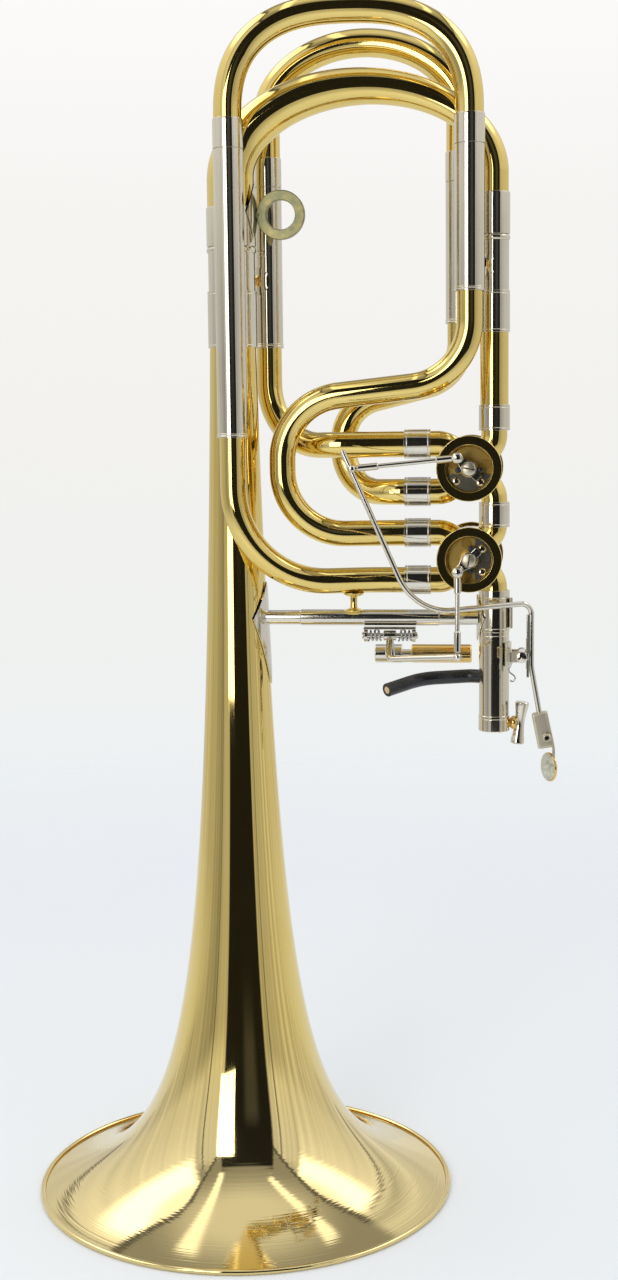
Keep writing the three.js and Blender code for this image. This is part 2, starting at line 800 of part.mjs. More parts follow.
// Slides of the valve loops: fixed sleeves, moving legs and bows
function sleeve(name, base, top, at) {
  const bore = sleeveRadius - sleeveWall;
  const ringRadiusHere = sleeveRadius + ringStand;
  const profile = [
    [bore, base],
    [ringRadiusHere, base],
    [ringRadiusHere, base + ringHeight],
    [sleeveRadius, base + ringHeight],
    [sleeveRadius, top],
    [bore, top],
  ];
  addPiece(name, turnedSolid(profile, 'z', turnedSides, [...at, 0]), nickel, 0.15);
}
sleeve('front_sleeve_left', frontLeftBase, frontSeamZ, frontLeft);
sleeve('front_sleeve_right', frontRightBase, frontSeamZ, frontRight);
sleeve('rear_sleeve_left', rearLeftBase, rearSeamZ, rearLeft);
sleeve('rear_sleeve_right', rearRightBase, rearSeamZ, rearRight);

const sleeveBore = sleeveRadius - sleeveWall;
const legRadius = sleeveBore - slideGap;
const capSocket = bowRadius + slideGap;
function loopSlide(name, left, right, seamZ, capTop, bowBase, bowRise, fullness) {
  const base = seamZ + seam;
  [['left', left], ['right', right]].forEach(([side, at]) => {
    const leg = slideLeg(base, capTop, capRadius, legRadius, legWall, legDrop, at,
      capSocket);
    addPiece(`${name}_leg_${side}`, leg, nickel, 0.15);
  });
  const foot = capTop - socketDepth + seam;
  const route = archRoute(left, right, [foot, foot], bowBase, bowRise, fullness);
  addPiece(`${name}_bow`, tube(route, bowRadius, bowWall), brass, 0.12);
}
loopSlide('front', frontLeft, frontRight, frontSeamZ, frontCapTop, frontBowBase, frontBowRise,
  frontBowFullness);
loopSlide('rear', rearLeft, rearRight, rearSeamZ, rearCapTop, rearBowBase, rearBowRise);

// Fixed tubes of the loops, bent from the sleeves to the ports of the valves
const loopEndX = (portFerruleInner + portFerruleOuter - seam) / 2;
const lowPortZ = lowerValveZ - portOffset;
const lowUpperPortZ = lowerValveZ + portOffset;
const highLowerPortZ = upperValveZ - portOffset;
const highPortZ = upperValveZ + portOffset;
const frontSRoute = bentRoute([
  [frontRightX, frontRightY, frontRightBase + sleeveSocket],
  [frontRightX, frontRightY, frontSRunZ + frontSRunRise, frontSRadius],
  [frontSLeftX, frontSLeftY + frontSLeanY, frontSRunZ - frontSRunRise, frontSRadius],
  [frontSLeftX, frontSLeftY, lowUpperPortZ, frontSRadius],
  [frontSExitX, 0, lowUpperPortZ, frontSExitRadius],
  [loopEndX, 0, lowUpperPortZ],
]);
addPiece('front_s_tube', tube(frontSRoute, loopRadius, loopWall), brass, 0.12);
const rearSRoute = bentRoute([
  [rearRightX, rearRightY, rearRightBase + sleeveSocket],
  [rearRightX, rearRightY, rearSRunZ + rearSRunRise, rearSRadius],
  [rearSLeftX, rearSLeftY, rearSRunZ - rearSRunRise, rearSRadius],
  [rearSLeftX, rearSLeftY, highLowerPortZ, rearSRadius],
  [rearSExitX, 0, highLowerPortZ, rearSExitRadius],
  [loopEndX, 0, highLowerPortZ],
]);
addPiece('rear_s_tube', tube(rearSRoute, loopRadius, loopWall), brass, 0.12);
const frontReturnRoute = bentRoute([
  [frontLeftX, frontLeftY, frontLeftBase + sleeveSocket],
  [frontLeftX, frontLeftY, lowPortZ, frontReturnRadius],
  [frontReturnExitX, 0, lowPortZ, frontReturnExitRadius],
  [loopEndX, 0, lowPortZ],
]);
addPiece('front_return_tube', tube(frontReturnRoute, loopRadius, loopWall), brass, 0.12);
const rearReturnRoute = bentRoute([
  [rearLeftX, rearLeftY, rearLeftBase + sleeveSocket],
  [rearLeftX, rearLeftY, highPortZ, rearReturnRadius],
  [rearReturnExitX, 0, highPortZ, rearReturnExitRadius],
  [loopEndX, 0, highPortZ],
]);
addPiece('rear_return_tube', tube(rearReturnRoute, loopRadius, loopWall), brass, 0.12);

const ferruleBore = loopRadius + solderGap;
function portFerrule(name, z) {
  const ferrule = pipe(portFerruleRadius, ferruleBore, portFerruleInner, portFerruleOuter, 'x',
    [0, 0, z]);
  addPiece(name, ferrule, nickel, 0.15);
}
portFerrule('front_ferrule_low', lowPortZ);
portFerrule('front_ferrule_high', lowUpperPortZ);
portFerrule('rear_ferrule_low', highLowerPortZ);
portFerrule('rear_ferrule_high', highPortZ);

// Neckpipe and the two couplings of the main tubing
const neckMiddle = (neckFerruleBase + neckFerruleTop) / 2;
const neckTopEnd = smallFerruleBase + socketDepth - seam;
const neckpipe = pipe(neckRadius, neckRadius - neckWall, neckMiddle + seam / 2, neckTopEnd, 'z',
  [neckX, 0, 0], turnedSides);
addPiece('neckpipe', neckpipe, brass, 0.12);
const neckFerrule = turnedSolid([
  [ferruleBore, neckFerruleBase],
  [neckFerruleRadius, neckFerruleBase],
  [neckFerruleRadius, neckFerruleTop],
  [neckRadius + solderGap, neckFerruleTop],
  [neckRadius + solderGap, neckMiddle],
  [ferruleBore, neckMiddle],
], 'z', turnedSides, [neckX, 0, 0]);
addPiece('neckpipe_ferrule', neckFerrule, nickel, 0.15);
const linkFerrule = pipe(neckFerruleRadius, ferruleBore, linkFerruleBase, linkFerruleTop, 'z',
  [neckX, 0, 0]);
addPiece('valve_link_ferrule', linkFerrule, nickel, 0.15);

// Rotary valves: a casing with four knuckles, a rotor with two curved passages, a rear
// bearing and cap, and two bumpers on a half plate that stop the arm a quarter turn apart
const linkMiddle = (linkFerruleBase + linkFerruleTop) / 2;
const receiverSocketEnd = receiverTop - receiverSocketDepth + seam;
function knuckle(signX, signZ, end, centre, radius) {
  const corner = [signX * portOffset, signZ * portOffset];
  const stop = signX < 0 ? [loopEndX + seam - centre[0], corner[1]] : [corner[0], end - centre[1]];
  const start = portOffset / 2;
  const route = bentRoute([
    [centre[0] + signX * start, 0, centre[1] + signZ * start],
    [centre[0] + corner[0], 0, centre[1] + corner[1], knuckleBend],
    [centre[0] + stop[0], 0, centre[1] + stop[1]],
  ]);
  return bar(route, radius, tubeSides);
}
const recessFloor = valveFront + recessDepth;
const boreFront = recessFloor + frontWall;
function valve(name, centreZ, topEnd, bottomEnd, plateTurn) {
  const centre = [valveX, centreZ];
  const at = [valveX, 0, centreZ];
  const corners = [[-1, 1, 0], [-1, -1, 0], [1, 1, topEnd], [1, -1, bottomEnd]];
  const outerTubes = corners.map(([sx, sz, end]) => knuckle(sx, sz, end, centre, loopRadius));
  const bores = corners.map(([sx, sz, end]) =>
    knuckle(sx, sz, end + Math.sign(end - centreZ) * cutOverrun, centre, loopRadius - loopWall));
  const shell = turnedSolid([
    [0, recessFloor],
    [recessRadius, recessFloor],
    [recessRadius, valveFront],
    [ringRadius, valveFront],
    [ringRadius, valveFront + ringDepth],
    [casingRadius, valveFront + ringDepth],
    [casingRadius, casingRearY],
    [0, casingRearY],
  ], 'y', turnedSides, at);
  const plateShape = rod(recessRadius - runningGap, recessFloor - plateThickness,
    recessFloor + plateThickness / 2, 'y', at, turnedSides);
  const side = 2 * recessRadius;
  const halfCut = block(side, side, side, [0, 0, 0]);
  const half = halfCut.translate([0, recessFloor, recessRadius + shaftRadius])
    .rotate([0, THREE.MathUtils.radToDeg(-plateTurn), 0]).translate([at[0], 0, at[2]]);
  const plate = plateShape.subtract(half);
  const cavity = rod(rotorBore, boreFront, casingRearY + cutOverrun, 'y', at, turnedSides);
  const shaftHole = rod(shaftBore, valveFront, boreFront + cutOverrun, 'y', at, 12);
  let casing = joined(shell, plate, ...outerTubes);
  casing = casing.subtract(joined(cavity, shaftHole, ...bores));
  const bumperSeats = [];
  [-1, 1].forEach((sign, k) => {
    const angle = plateTurn - Math.PI / 2 + sign * bumperSpread;
    const [dx, dz] = mirroredAngle(angle, bumperCircle);
    const place = [valveX + dx, 0, centreZ + dz];
    const foot = recessFloor - plateThickness - runningGap;
    const bumper = rod(bumperRadius, foot - bumperHeight, foot, 'y', place);
    const seatHole = rod(bumperRadius + runningGap, foot, recessFloor + plateThickness, 'y',
      place);
    bumperSeats.push(seatHole);
    const peg = rod(bumperRadius, foot - plateThickness / 2, recessFloor + plateThickness / 2, 'y',
      place);
    addPiece(`${name}_bumper_${k === 0 ? 'a' : 'b'}`, bumper.add(peg), darkRubber, 0.8, 0);
  });
  casing = casing.subtract(joined(...bumperSeats));
  addPiece(`${name}_casing`, casing, brass, 0.12);

  // Rotor: its passages curve between neighbouring ports, oval so that a wall stays between them
  const bodyFront = boreFront + runningGap;
  const rotorRear = rotorHalfLength;
  const bodyBlank = turnedSolid([
    [0, shaftFront],
    [shaftRadius, shaftFront],
    [shaftRadius, bodyFront],
    [rotorRadius, bodyFront],
    [rotorRadius, rotorRear],
    [shaftRadius, rotorRear],
    [shaftRadius, rotorRear + bearingThickness + runningGap],
    [0, rotorRear + bearingThickness + runningGap],
  ], 'y', turnedSides, at);
  const passages = [-1, 1].map((sign) => {
    const reach = (rotorRadius + cutOverrun) / Math.SQRT2;
    const route = bentRoute([
      [valveX + sign * reach, 0, centreZ + reach],
      [valveX + sign * passageAcross / 4, 0, centreZ, rotorRadius],
      [valveX + sign * reach, 0, centreZ - reach],
    ]);
    const oval = new THREE.Shape(sectionOf(passageAcross, passageAlong, tubeSides));
    const options = { steps: route.steps, extrudePath: route, bevelEnabled: false };
    return solidOf(new THREE.ExtrudeGeometry(oval, options));
  });
  addPiece(`${name}_rotor`, bodyBlank.subtract(joined(...passages)), brass, 0.25);

  const bearingFront = rotorRear + runningGap;
  const bearing = pipe(rotorBore - runningGap, shaftBore, bearingFront,
    bearingFront + bearingThickness, 'y', at);
  addPiece(`${name}_rear_bearing`, bearing, nickel, 0.25);
  const capRear = casingRearY + rearCapDepth / 2;
  const capFront = capRear - rearCapDepth;
  const cap = turnedSolid([
    [casingRadius + runningGap, capFront],
    [ringRadius + rearCapWall / 2, capFront],
    [ringRadius + rearCapWall / 2, capRear - rearCapWall],
    [ringRadius - rearCapWall / 2, capRear],
    [0, capRear],
    [0, casingRearY + runningGap],
    [casingRadius + runningGap, casingRearY + runningGap],
  ], 'y', turnedSides, at);
  addPiece(`${name}_rear_cap`, cap, brass, 0.12);
}
const valveLinkTop = linkMiddle + seam / 2;
const valveLinkBottom = linkMiddle - seam / 2;
valve('upper_valve', upperValveZ, neckMiddle - seam / 2, valveLinkTop, 0);
valve('lower_valve', lowerValveZ, valveLinkBottom, receiverSocketEnd, Math.PI / 2);

// Stop arms: a split clamp on the rotor's shaft, an arm to the ball and a tail to the bumpers
function stopArm(name, centreZ, armAngle) {
  const at = [valveX, 0, centreZ];
  const hub = rod(armHubRadius, armFront, armBack, 'y', at, 12);
  const barBack = armBack;
  const depth = barBack - armFront;
  const middleY = (armFront + barBack) / 2;
  const arm = block(armThrow, depth, armWidth, [armThrow / 2, middleY, 0]);
  const tail = block(tailLength, depth, armWidth, [-tailLength / 2, middleY, 0]);
  const head = rod(pinRadius + pinGap, armFront, armBack, 'y', [armThrow, 0, 0]);
  const pin = rod(pinRadius, linkY + ballRadius + pinGap, armBack, 'y', [armThrow, 0, 0]);
  const turn = THREE.MathUtils.radToDeg(-armAngle);
  const limbs = joined(arm, tail, head, pin).rotate([0, turn, 0]).translate(at);
  const hole = rod(shaftRadius + runningGap, shaftFront + clampHeadHeight, armBack + cutOverrun,
    'y', at, 12);
  const headTop = shaftFront - clampHeadHeight;
  const screw = rod(armHubRadius, headTop, shaftFront - runningGap, 'y', at, 12);
  const collar = pipe(armHubRadius, shaftRadius + runningGap, headTop + runningGap, armFront + clampHeadHeight,
    'y', at, 12);
  const whole = joined(hub, limbs).subtract(hole);
  addPiece(name, joined(whole, collar, screw), nickel, 0.2);
}
stopArm('upper_stop_arm', upperValveZ, Math.PI - stopTailAngle);
stopArm('lower_stop_arm', lowerValveZ, Math.PI + stopTailAngle);

// Links: a thin rod with a sleeve at each end, a ball end over the stop arm's pin
function link(name, start, end, startGap) {
  const from = new THREE.Vector3(...start);
  const to = new THREE.Vector3(...end);
  const span = from.distanceTo(to);
  const sleeveNear = postBetween(from, to, linkSleeveRadius, startGap,
    startGap + linkSleeveLength);
  const sleeveFar = postBetween(from, to, linkSleeveRadius, span - linkSleeveLength, span);
  const shaft = postBetween(from, to, linkRodRadius, startGap + linkRodRadius, span - linkRodRadius);
  const end0 = ball(ballRadius, end);
  addPiece(name, joined(sleeveNear, sleeveFar, shaft, end0), nickel, 0.15);
}
const upperPin = mirroredAngle(Math.PI - stopTailAngle, armThrow);
const lowerPin = mirroredAngle(Math.PI + stopTailAngle, armThrow);
link('upper_link', [thumbBallX, thumbBallY, thumbBallZ],
  [valveX + upperPin[0], linkY, upperValveZ + upperPin[1]], thumbBallRadius + seam);
link('lower_link', [fingerBallX, linkY, fingerBallZ],
  [valveX + lowerPin[0], linkY, lowerValveZ + lowerPin[1]], fingerBallRadius + seam);

// Slide receiver with the clamp's post
const receiverAt = [neckX, 0, 0];
const receiverBody = turnedSolid([
  [receiverBore, receiverBase],
  [receiverCollarRadius, receiverBase],
  [receiverCollarRadius, receiverBase + receiverCollarHeight],
  [receiverRadius, receiverBase + receiverCollarHeight],
  [receiverRadius, receiverTopStep],
  [receiverTopRadius, receiverTopStep],
  [receiverTopRadius, receiverTop],
  [receiverSocketRadius, receiverTop],
  [receiverSocketRadius, receiverTop - receiverSocketDepth],
  [receiverBore, receiverTop - receiverSocketDepth],
], 'z', turnedSides, receiverAt);
const receiverClear = rod(receiverBore, receiverBase - cutOverrun, receiverTop, 'z', receiverAt,
  turnedSides);
const clampPost = rod(clampPostRadius, clampPostX, clampBallX, 'x', [0, 0, clampZ], 12);
const clampBall = ball(clampBallRadius, [clampBallX, 0, clampZ]);
const clampSeat = clampBarX - clampBarEndRadius - seam;
const clampFace = rod(2 * clampBallRadius, clampSeat, clampSeat + 2 * clampBallRadius, 'x',
  [0, 0, clampZ]);
const receiver = joined(receiverBody, clampPost, clampBall)
  .subtract(joined(receiverClear, clampFace));
addPiece('slide_receiver', receiver, nickel, 0.15);

// Clamp screw: an hourglass bar on a short stem
const clampStep = clampBarHalf / 3;
const clampProfile = [
  [0, -clampBarHalf],
  [clampBarEndRadius, -clampBarHalf],
  [(clampBarEndRadius + clampBarWaistRadius) / 2, -clampStep * 2],
  [clampBarWaistRadius, -clampStep / 2],
  [clampBarWaistRadius, clampStep / 2],
  [(clampBarEndRadius + clampBarWaistRadius) / 2, clampStep * 2],
  [clampBarEndRadius, clampBarHalf],
  [0, clampBarHalf],
];
const clampBarGeometry = turned(clampProfile, 'z', 12).rotateY(clampBarTilt);
const clampBar = solidOf(clampBarGeometry.translate(clampBarX, 0, clampZ));
const clampStem = rod(clampStemRadius, clampSeat + seam, clampBarX, 'x', [0, 0, clampZ], 10);
addPiece('clamp_screw', clampBar.add(clampStem), nickel, 0.15);

// Brace between the bell and the receiver, with a post up to the front return tube
const kiteShellProfile = [
  ...bellSkin(seam, kiteBottom - skinBase - cutOverrun, kiteTop - skinBase + cutOverrun, 8),
  ...bellSkin(seam + kiteThickness, kiteBottom - skinBase - cutOverrun,
    kiteTop - skinBase + cutOverrun, 8).reverse(),
];
const kiteShell = turnedSolid(kiteShellProfile, 'z', bellSides);
const kiteCut = kitePrism([kiteTop - braceZ, braceZ - kiteBottom], kiteHalfWidth,
  0, 2 * largeFerruleRadius, [0, braceY, braceZ]);
const kite = kiteShell.intersect(kiteCut);
const bellAtBrace = bellRadius(braceZ - skinBase);
const braceLeft = bellAtBrace - kiteThickness;
const braceRight = neckX - receiverTopRadius;
const braceBody = turnedSolid([
  [0, braceLeft],
  [braceEndRadius, braceLeft],
  [braceEndRadius, braceLeft + braceEndLength],
  [braceRadius, braceLeft + braceEndLength],
  [braceRadius, braceRight - braceEndLength],
  [braceEndRadius, braceRight - braceEndLength],
  [braceEndRadius, braceRight],
  [0, braceRight],
], 'x', 12, [0, braceY, braceZ]);
const bellClear = turnedSolid([
  [0, kiteBottom - kiteHalfWidth],
  ...bellSkin(seam, kiteBottom - skinBase - cutOverrun, kiteTop - skinBase + cutOverrun, 8),
  [0, kiteTop + kiteHalfWidth],
], 'z', bellSides);
const receiverShell = pipe(receiverTopRadius + seam + kiteThickness, receiverTopRadius + seam,
  braceZ - receiverKiteHalfHeight, braceZ + receiverKiteHalfHeight, 'z', receiverAt);
const receiverKite = receiverShell.intersect(kitePrism(
  [receiverKiteHalfHeight, receiverKiteHalfHeight], receiverKiteHalfWidth,
  -2 * receiverRadius, 0, [neckX, braceY, braceZ]));
const receiverRod = rod(receiverTopRadius + seam, receiverBase, receiverTop, 'z', receiverAt,
  turnedSides);
const postY = -(frontReturnExitX - postX) / (frontReturnExitX - frontLeftX) * -frontLeftY;
const postTop = lowPortZ - loopRadius;
const bracePost = rod(postRadius, braceZ, postTop + postSaddleFoot, 'z', [postX, postY, 0], 10);
const postSaddle = rod(postSaddleRadius, postTop - postSaddleFoot, postTop + postSaddleCrown, 'z',
  [postX, postY, 0], 14);
const returnClear = bar(frontReturnRoute, loopRadius + seam, tubeSides);
const posts = joined(bracePost, postSaddle).subtract(returnClear);
const brace = joined(braceBody, kite, receiverKite, posts)
  .subtract(joined(bellClear, receiverRod));
addPiece('main_brace', brace, nickel, 0.15);

// Hand rest: a bent rod from the back of the receiver with a rubber sleeve over it
const restStart = [neckX, handrestStartY, handrestZ];
const restCorners = [
  restStart,
  [handrestFirstX, handrestFirstY, handrestZ, handrestBend / 2],
  [handrestSecondX, handrestSecondY, handrestZ - handrestFoot / 3, handrestBend],
  [handrestEndX, handrestEndY, handrestEndZ],
];
const restRoute = bentRoute(restCorners);
const restRod = bar(restRoute, handrestRodRadius, 10);
const restShell = pipe(receiverRadius + seam + kiteThickness, receiverRadius + seam,
  handrestZ - handrestFoot, handrestZ + handrestFoot, 'z', receiverAt);
const restDirection = new THREE.Vector3(0, 1, 0);
const restBack = new THREE.Vector3(neckX, 0, handrestZ);
const restDisc = postBetween(restBack, restBack.clone().add(restDirection), handrestFoot, 0,
  2 * receiverRadius, 14);
const restClear = rod(receiverRadius + seam, receiverBase, receiverTop, 'z', receiverAt,
  turnedSides);
const restWhole = joined(restRod, restShell.intersect(restDisc)).subtract(restClear);
addPiece('handrest_rod', restWhole, cork, 0.5, 0);
const sleeveCorners = restCorners.map((corner) => [...corner]);
const restWay = new THREE.Vector3(...restCorners[1]).sub(new THREE.Vector3(...restStart));
const restShift = restWay.normalize().multiplyScalar(handrestFoot);
sleeveCorners[0] = [restStart[0] + restShift.x, restStart[1] + restShift.y, handrestZ];
const sleeveRoute = bentRoute(sleeveCorners);
const restTube = tube(sleeveRoute, handrestRadius, handrestWall, 12);
addPiece('handrest_sleeve', restTube.subtract(joined(restShell, restClear)), darkRubber, 0.35, 0);

// Thumb lever: a bent rod with a hinge strip and hub, a block and a round paddle
const thumbTip = [thumbBallX - thumbTipRun, thumbBallY, thumbBallZ + thumbTipRise];
const thumbRoute = bentRoute([
  thumbTip,
  [thumbKneeX, thumbKneeY, thumbKneeZ, thumbKneeRadius],
  [thumbShoulderX, thumbShoulderY, thumbShoulderZ, thumbShoulderRadius],
  [thumbShoulderX, thumbShoulderY, thumbHipZ, thumbHipRadius],
  [thumbEndX, thumbEndY, thumbEndZ],
]);
const thumbRod = bar(thumbRoute, thumbRodRadius);
const thumbBall = ball(thumbBallRadius, [thumbBallX, thumbBallY, thumbBallZ]);
const hubMiddle = (thumbHubFront + thumbHubRear) / 2;
const stripX = thumbShoulderX - thumbRodRadius - hingeStripThickness / 4;
const stripZ = thumbShoulderZ - hingeStripDrop - hingeStripLength / 2;
const strip = block(hingeStripThickness, hingeStripWidth, hingeStripLength,
  [stripX, hubMiddle, stripZ]);
const hubAt = [thumbPivotX, 0, thumbPivotZ];
const thumbHub = rod(thumbHubRadius, thumbHubFront, thumbHubRear, 'y', hubAt, 12);
const hubBore = rod(thumbPinRadius + thumbPinGap, thumbHubFront - cutOverrun,
  thumbHubRear + cutOverrun, 'y', hubAt, 12);
const thumbLever = joined(thumbRod, thumbBall, strip, thumbHub).subtract(hubBore);
addPiece('thumb_lever', thumbLever, nickel, 0.15);

function bevelledBlock(width, depth, height, chamfer) {
  const w = width / 2;
  const d = depth / 2;
  const shape = new THREE.Shape();
  shape.moveTo(-w + chamfer, -d);
  shape.lineTo(w - chamfer, -d);
  shape.lineTo(w, -d + chamfer);
  shape.lineTo(w, d - chamfer);
  shape.lineTo(w - chamfer, d);
  shape.lineTo(-w + chamfer, d);
  shape.lineTo(-w, d - chamfer);
  shape.lineTo(-w, -d + chamfer);
  shape.closePath();
  const geometry = new THREE.ExtrudeGeometry(shape, { depth: height, bevelEnabled: false });
  return geometry.translate(0, 0, -height / 2);
}
const blockGeometry = bevelledBlock(thumbBlockWidth, thumbBlockDepth, thumbBlockHeight,
  thumbBlockChamfer).rotateY(-thumbBlockTilt);
const blockZ = thumbEndZ - thumbBlockDrop;
const blockX = thumbEndX + thumbBlockDrop * Math.tan(thumbBlockTilt);
const thumbBlockBody = solidOf(blockGeometry.translate(blockX, thumbEndY, blockZ));
const screwFront = thumbEndY - thumbBlockDepth / 2 - setScrewHeight;
const setScrew = rod(setScrewRadius, screwFront, thumbEndY, 'y',
  [blockX + setScrewSide, 0, blockZ - setScrewDrop], 12);
const rodSocket = bar(thumbRoute, thumbRodRadius + runningGap);
const arcRise = thumbBlockHeight / 2;
const stripTopX = blockX + thumbBlockWidth / 2 - paddleStripThickness;
const stripArc = bentRoute([
  [stripTopX - paddleStripInset, thumbEndY, blockZ + arcRise],
  [stripTopX + paddleStripBulge, thumbEndY, blockZ - arcRise, thumbBlockHeight],
  [paddleX + paddleThickness, thumbEndY, paddleZ - paddleRadius * paddleReachShare],
]);
const stripShape = new THREE.Shape();
const halfStrip = paddleStripThickness / 2;
const stripHalfWidth = paddleStripWidth / 2;
stripShape.moveTo(-halfStrip, -stripHalfWidth);
stripShape.lineTo(halfStrip, -stripHalfWidth);
stripShape.lineTo(halfStrip, stripHalfWidth);
stripShape.lineTo(-halfStrip, stripHalfWidth);
stripShape.closePath();
const stripOptions = { steps: stripArc.steps, extrudePath: stripArc, bevelEnabled: false };
const paddleStrip = solidOf(new THREE.ExtrudeGeometry(stripShape, stripOptions));
const paddleAt = [paddleX, thumbEndY, paddleZ];
function paddleDisc(radius, thickness, grow) {
  const half = thickness / 2 + grow;
  const rounded = [
    [0, -half],
    [radius - thickness / 2 + grow, -half],
    [radius + grow, -half / 2],
    [radius + grow, half / 2],
    [radius - thickness / 2 + grow, half],
    [0, half],
  ];
  return solidOf(turned(rounded, 'x', 16).rotateZ(paddleTurn).translate(...paddleAt));
}
const disc = paddleDisc(paddleRadius, paddleThickness, 0);
const discClear = paddleDisc(paddleRadius, paddleThickness, runningGap);
const thumbBlock = joined(thumbBlockBody, setScrew, paddleStrip)
  .subtract(joined(rodSocket, discClear));
addPiece('thumb_block', mainBody(thumbBlock), nickel, 0.2);
addPiece('thumb_paddle', disc, pearl, 0.3, 0);

// Hinge saddle of the thumb lever, its pivot screw and its spring
const saddleInner = receiverRadius + seam;
const saddleShell = pipe(saddleInner + saddleThickness, saddleInner,
  thumbPivotZ - saddleHeight / 2, thumbPivotZ + saddleHeight / 2, 'z', receiverAt);
const saddleReach = 2 * receiverRadius;
const wedgeShape = new THREE.Shape();
const wedgeSide = saddleReach * Math.tan(saddleHalfAngle);
wedgeShape.moveTo(0, 0);
wedgeShape.lineTo(saddleReach, -wedgeSide);
wedgeShape.lineTo(saddleReach, wedgeSide);
wedgeShape.closePath();
const wedge = new THREE.ExtrudeGeometry(wedgeShape, { depth: saddleHeight, bevelEnabled: false });
const saddleWedge = solidOf(wedge.translate(neckX, 0, thumbPivotZ - saddleHeight / 2));
const saddlePlate = saddleShell.intersect(saddleWedge);
const lugFrontY = thumbHubFront - saddleLugGap - saddleLugThickness / 2;
const lugRearY = thumbHubRear + saddleLugGap + saddleLugThickness / 2;
const lugLength = thumbPivotX - neckX;
const lugHeight = 2 * thumbHubRadius;
const lugs = [lugFrontY, lugRearY].map((y) => {
  const plate = block(lugLength, saddleLugThickness, lugHeight,
    [neckX + lugLength / 2, y, thumbPivotZ]);
  const eye = rod(thumbHubRadius, y - saddleLugThickness / 2, y + saddleLugThickness / 2, 'y',
    hubAt, 12);
  return plate.add(eye);
});
const bridgeDepth = lugRearY - lugFrontY + saddleLugThickness;
const bridgeX = neckX + saddleInner + saddleThickness;
const bridge = block(saddleThickness, bridgeDepth, lugHeight,
  [bridgeX - saddleThickness / 2, (lugRearY + lugFrontY) / 2, thumbPivotZ]);
const lugBores = rod(thumbPinRadius + thumbPinGap, lugFrontY - saddleLugThickness,
  lugRearY + saddleLugThickness, 'y', hubAt, 12);
const saddleClear = rod(saddleInner, receiverBase, receiverTop, 'z', receiverAt, turnedSides);
const saddleCut = block(lugLength, 2 * receiverRadius * 2, 2 * saddleHeight,
  [neckX - saddleThickness, 0, thumbPivotZ]);
const lugSet = joined(...lugs, bridge).subtract(saddleCut);
const thumbSaddle = joined(saddlePlate, lugSet).subtract(joined(lugBores, saddleClear));
addPiece('thumb_hinge_saddle', thumbSaddle, nickel, 0.2);
const pinFront = lugFrontY - saddleLugThickness / 2;
const pinRear = lugRearY + saddleLugThickness / 2;
const thumbPin = turnedSolid([
  [0, pinFront - saddleLugThickness],
  [thumbHubRadius, pinFront - saddleLugThickness],
  [thumbHubRadius, pinFront - seam],
  [thumbPinRadius, pinFront - seam],
  [thumbPinRadius, pinRear],
  [0, pinRear],
], 'y', 12, hubAt);
addPiece('thumb_pivot_screw', thumbPin, steel, 0.2);

// Coil springs: one unbroken wire each, with a straight tail at both ends
const curlSteps = 8;
const wireSides = 4;
let leastSelfGap = Infinity;
function coilSpring(radius, wire, turns, length, axis, at, tail) {
  const places = [];
  const total = turns * curlSteps;
  for (let k = 0; k <= total; k += 1) {
    const angle = (2 * Math.PI * k) / curlSteps;
    const along = length * (k / total - 1 / 2);
    places.push(new THREE.Vector3(radius * Math.cos(angle), radius * Math.sin(angle), along));
  }
  const lead = new THREE.Vector3(radius, -tail, -length / 2);
  const trail = new THREE.Vector3(radius, tail, length / 2);
  const wholeRoute = [lead, ...places, trail];
  const directions = wholeRoute.map((place, k) => {
    const before = wholeRoute[Math.max(0, k - 1)];
    const after = wholeRoute[Math.min(wholeRoute.length - 1, k + 1)];
    return after.clone().sub(before).normalize();
  });
  for (let i = 0; i < wholeRoute.length; i += 1) {
    for (let k = i + curlSteps / 2; k < wholeRoute.length; k += 1) {
      const apart = wholeRoute[i].distanceTo(wholeRoute[k]) - 2 * wire;
      leastSelfGap = Math.min(leastSelfGap, apart);
    }
  }
  const route = new Route(wholeRoute, directions);
  const geometry = alongRoute(route, wire, 0, wireSides);
  if (axis === 'x') geometry.rotateY(Math.PI / 2);
  if (axis === 'y') geometry.rotateX(Math.PI / 2);
  return solidOf(geometry.translate(...at));
}
const thumbSpringLength = thumbSpringTurns * (2 * thumbSpringWire + springTurnGap);
const springY = thumbHubRear + saddleLugGap + saddleLugThickness + saddleLugGap
  + thumbSpringLength / 2 + thumbSpringWire;
const thumbSpring = coilSpring(thumbPinRadius + thumbSpringStand, thumbSpringWire,
  thumbSpringTurns, thumbSpringLength, 'y', [thumbPivotX, springY, thumbPivotZ], thumbSpringTail);
addPiece('thumb_spring', thumbSpring, steel, 0.3);

// Finger lever: a hub on a pin under the brace, an arm forward to the ball and one back
// to the clamp barrel and the grip
const fingerAt = [0, fingerPivotY, fingerPivotZ];
const hubLeft = fingerHubX - fingerHubLength / 2;
const hubRight = fingerHubX + fingerHubLength / 2;
const fingerHub = rod(fingerHubRadius, hubLeft, hubRight, 'x', fingerAt, 12);
const fingerHubBore = rod(fingerPinRadius + thumbPinGap, hubLeft - cutOverrun,
  hubRight + cutOverrun, 'x', fingerAt, 12);
const fingerFront = bar(bentRoute([
  [fingerHubX, fingerPivotY - fingerHubRadius / 2, fingerPivotZ - fingerHubRadius / 2],
  [fingerHubX, fingerKneeY, fingerKneeZ, fingerKneeRadius],
  [fingerBallX, linkY, fingerBallZ],
]), fingerRodRadius);
const fingerBall = ball(fingerBallRadius, [fingerBallX, linkY, fingerBallZ]);
const clampMiddle = (fingerClampLeft + fingerClampRight) / 2;
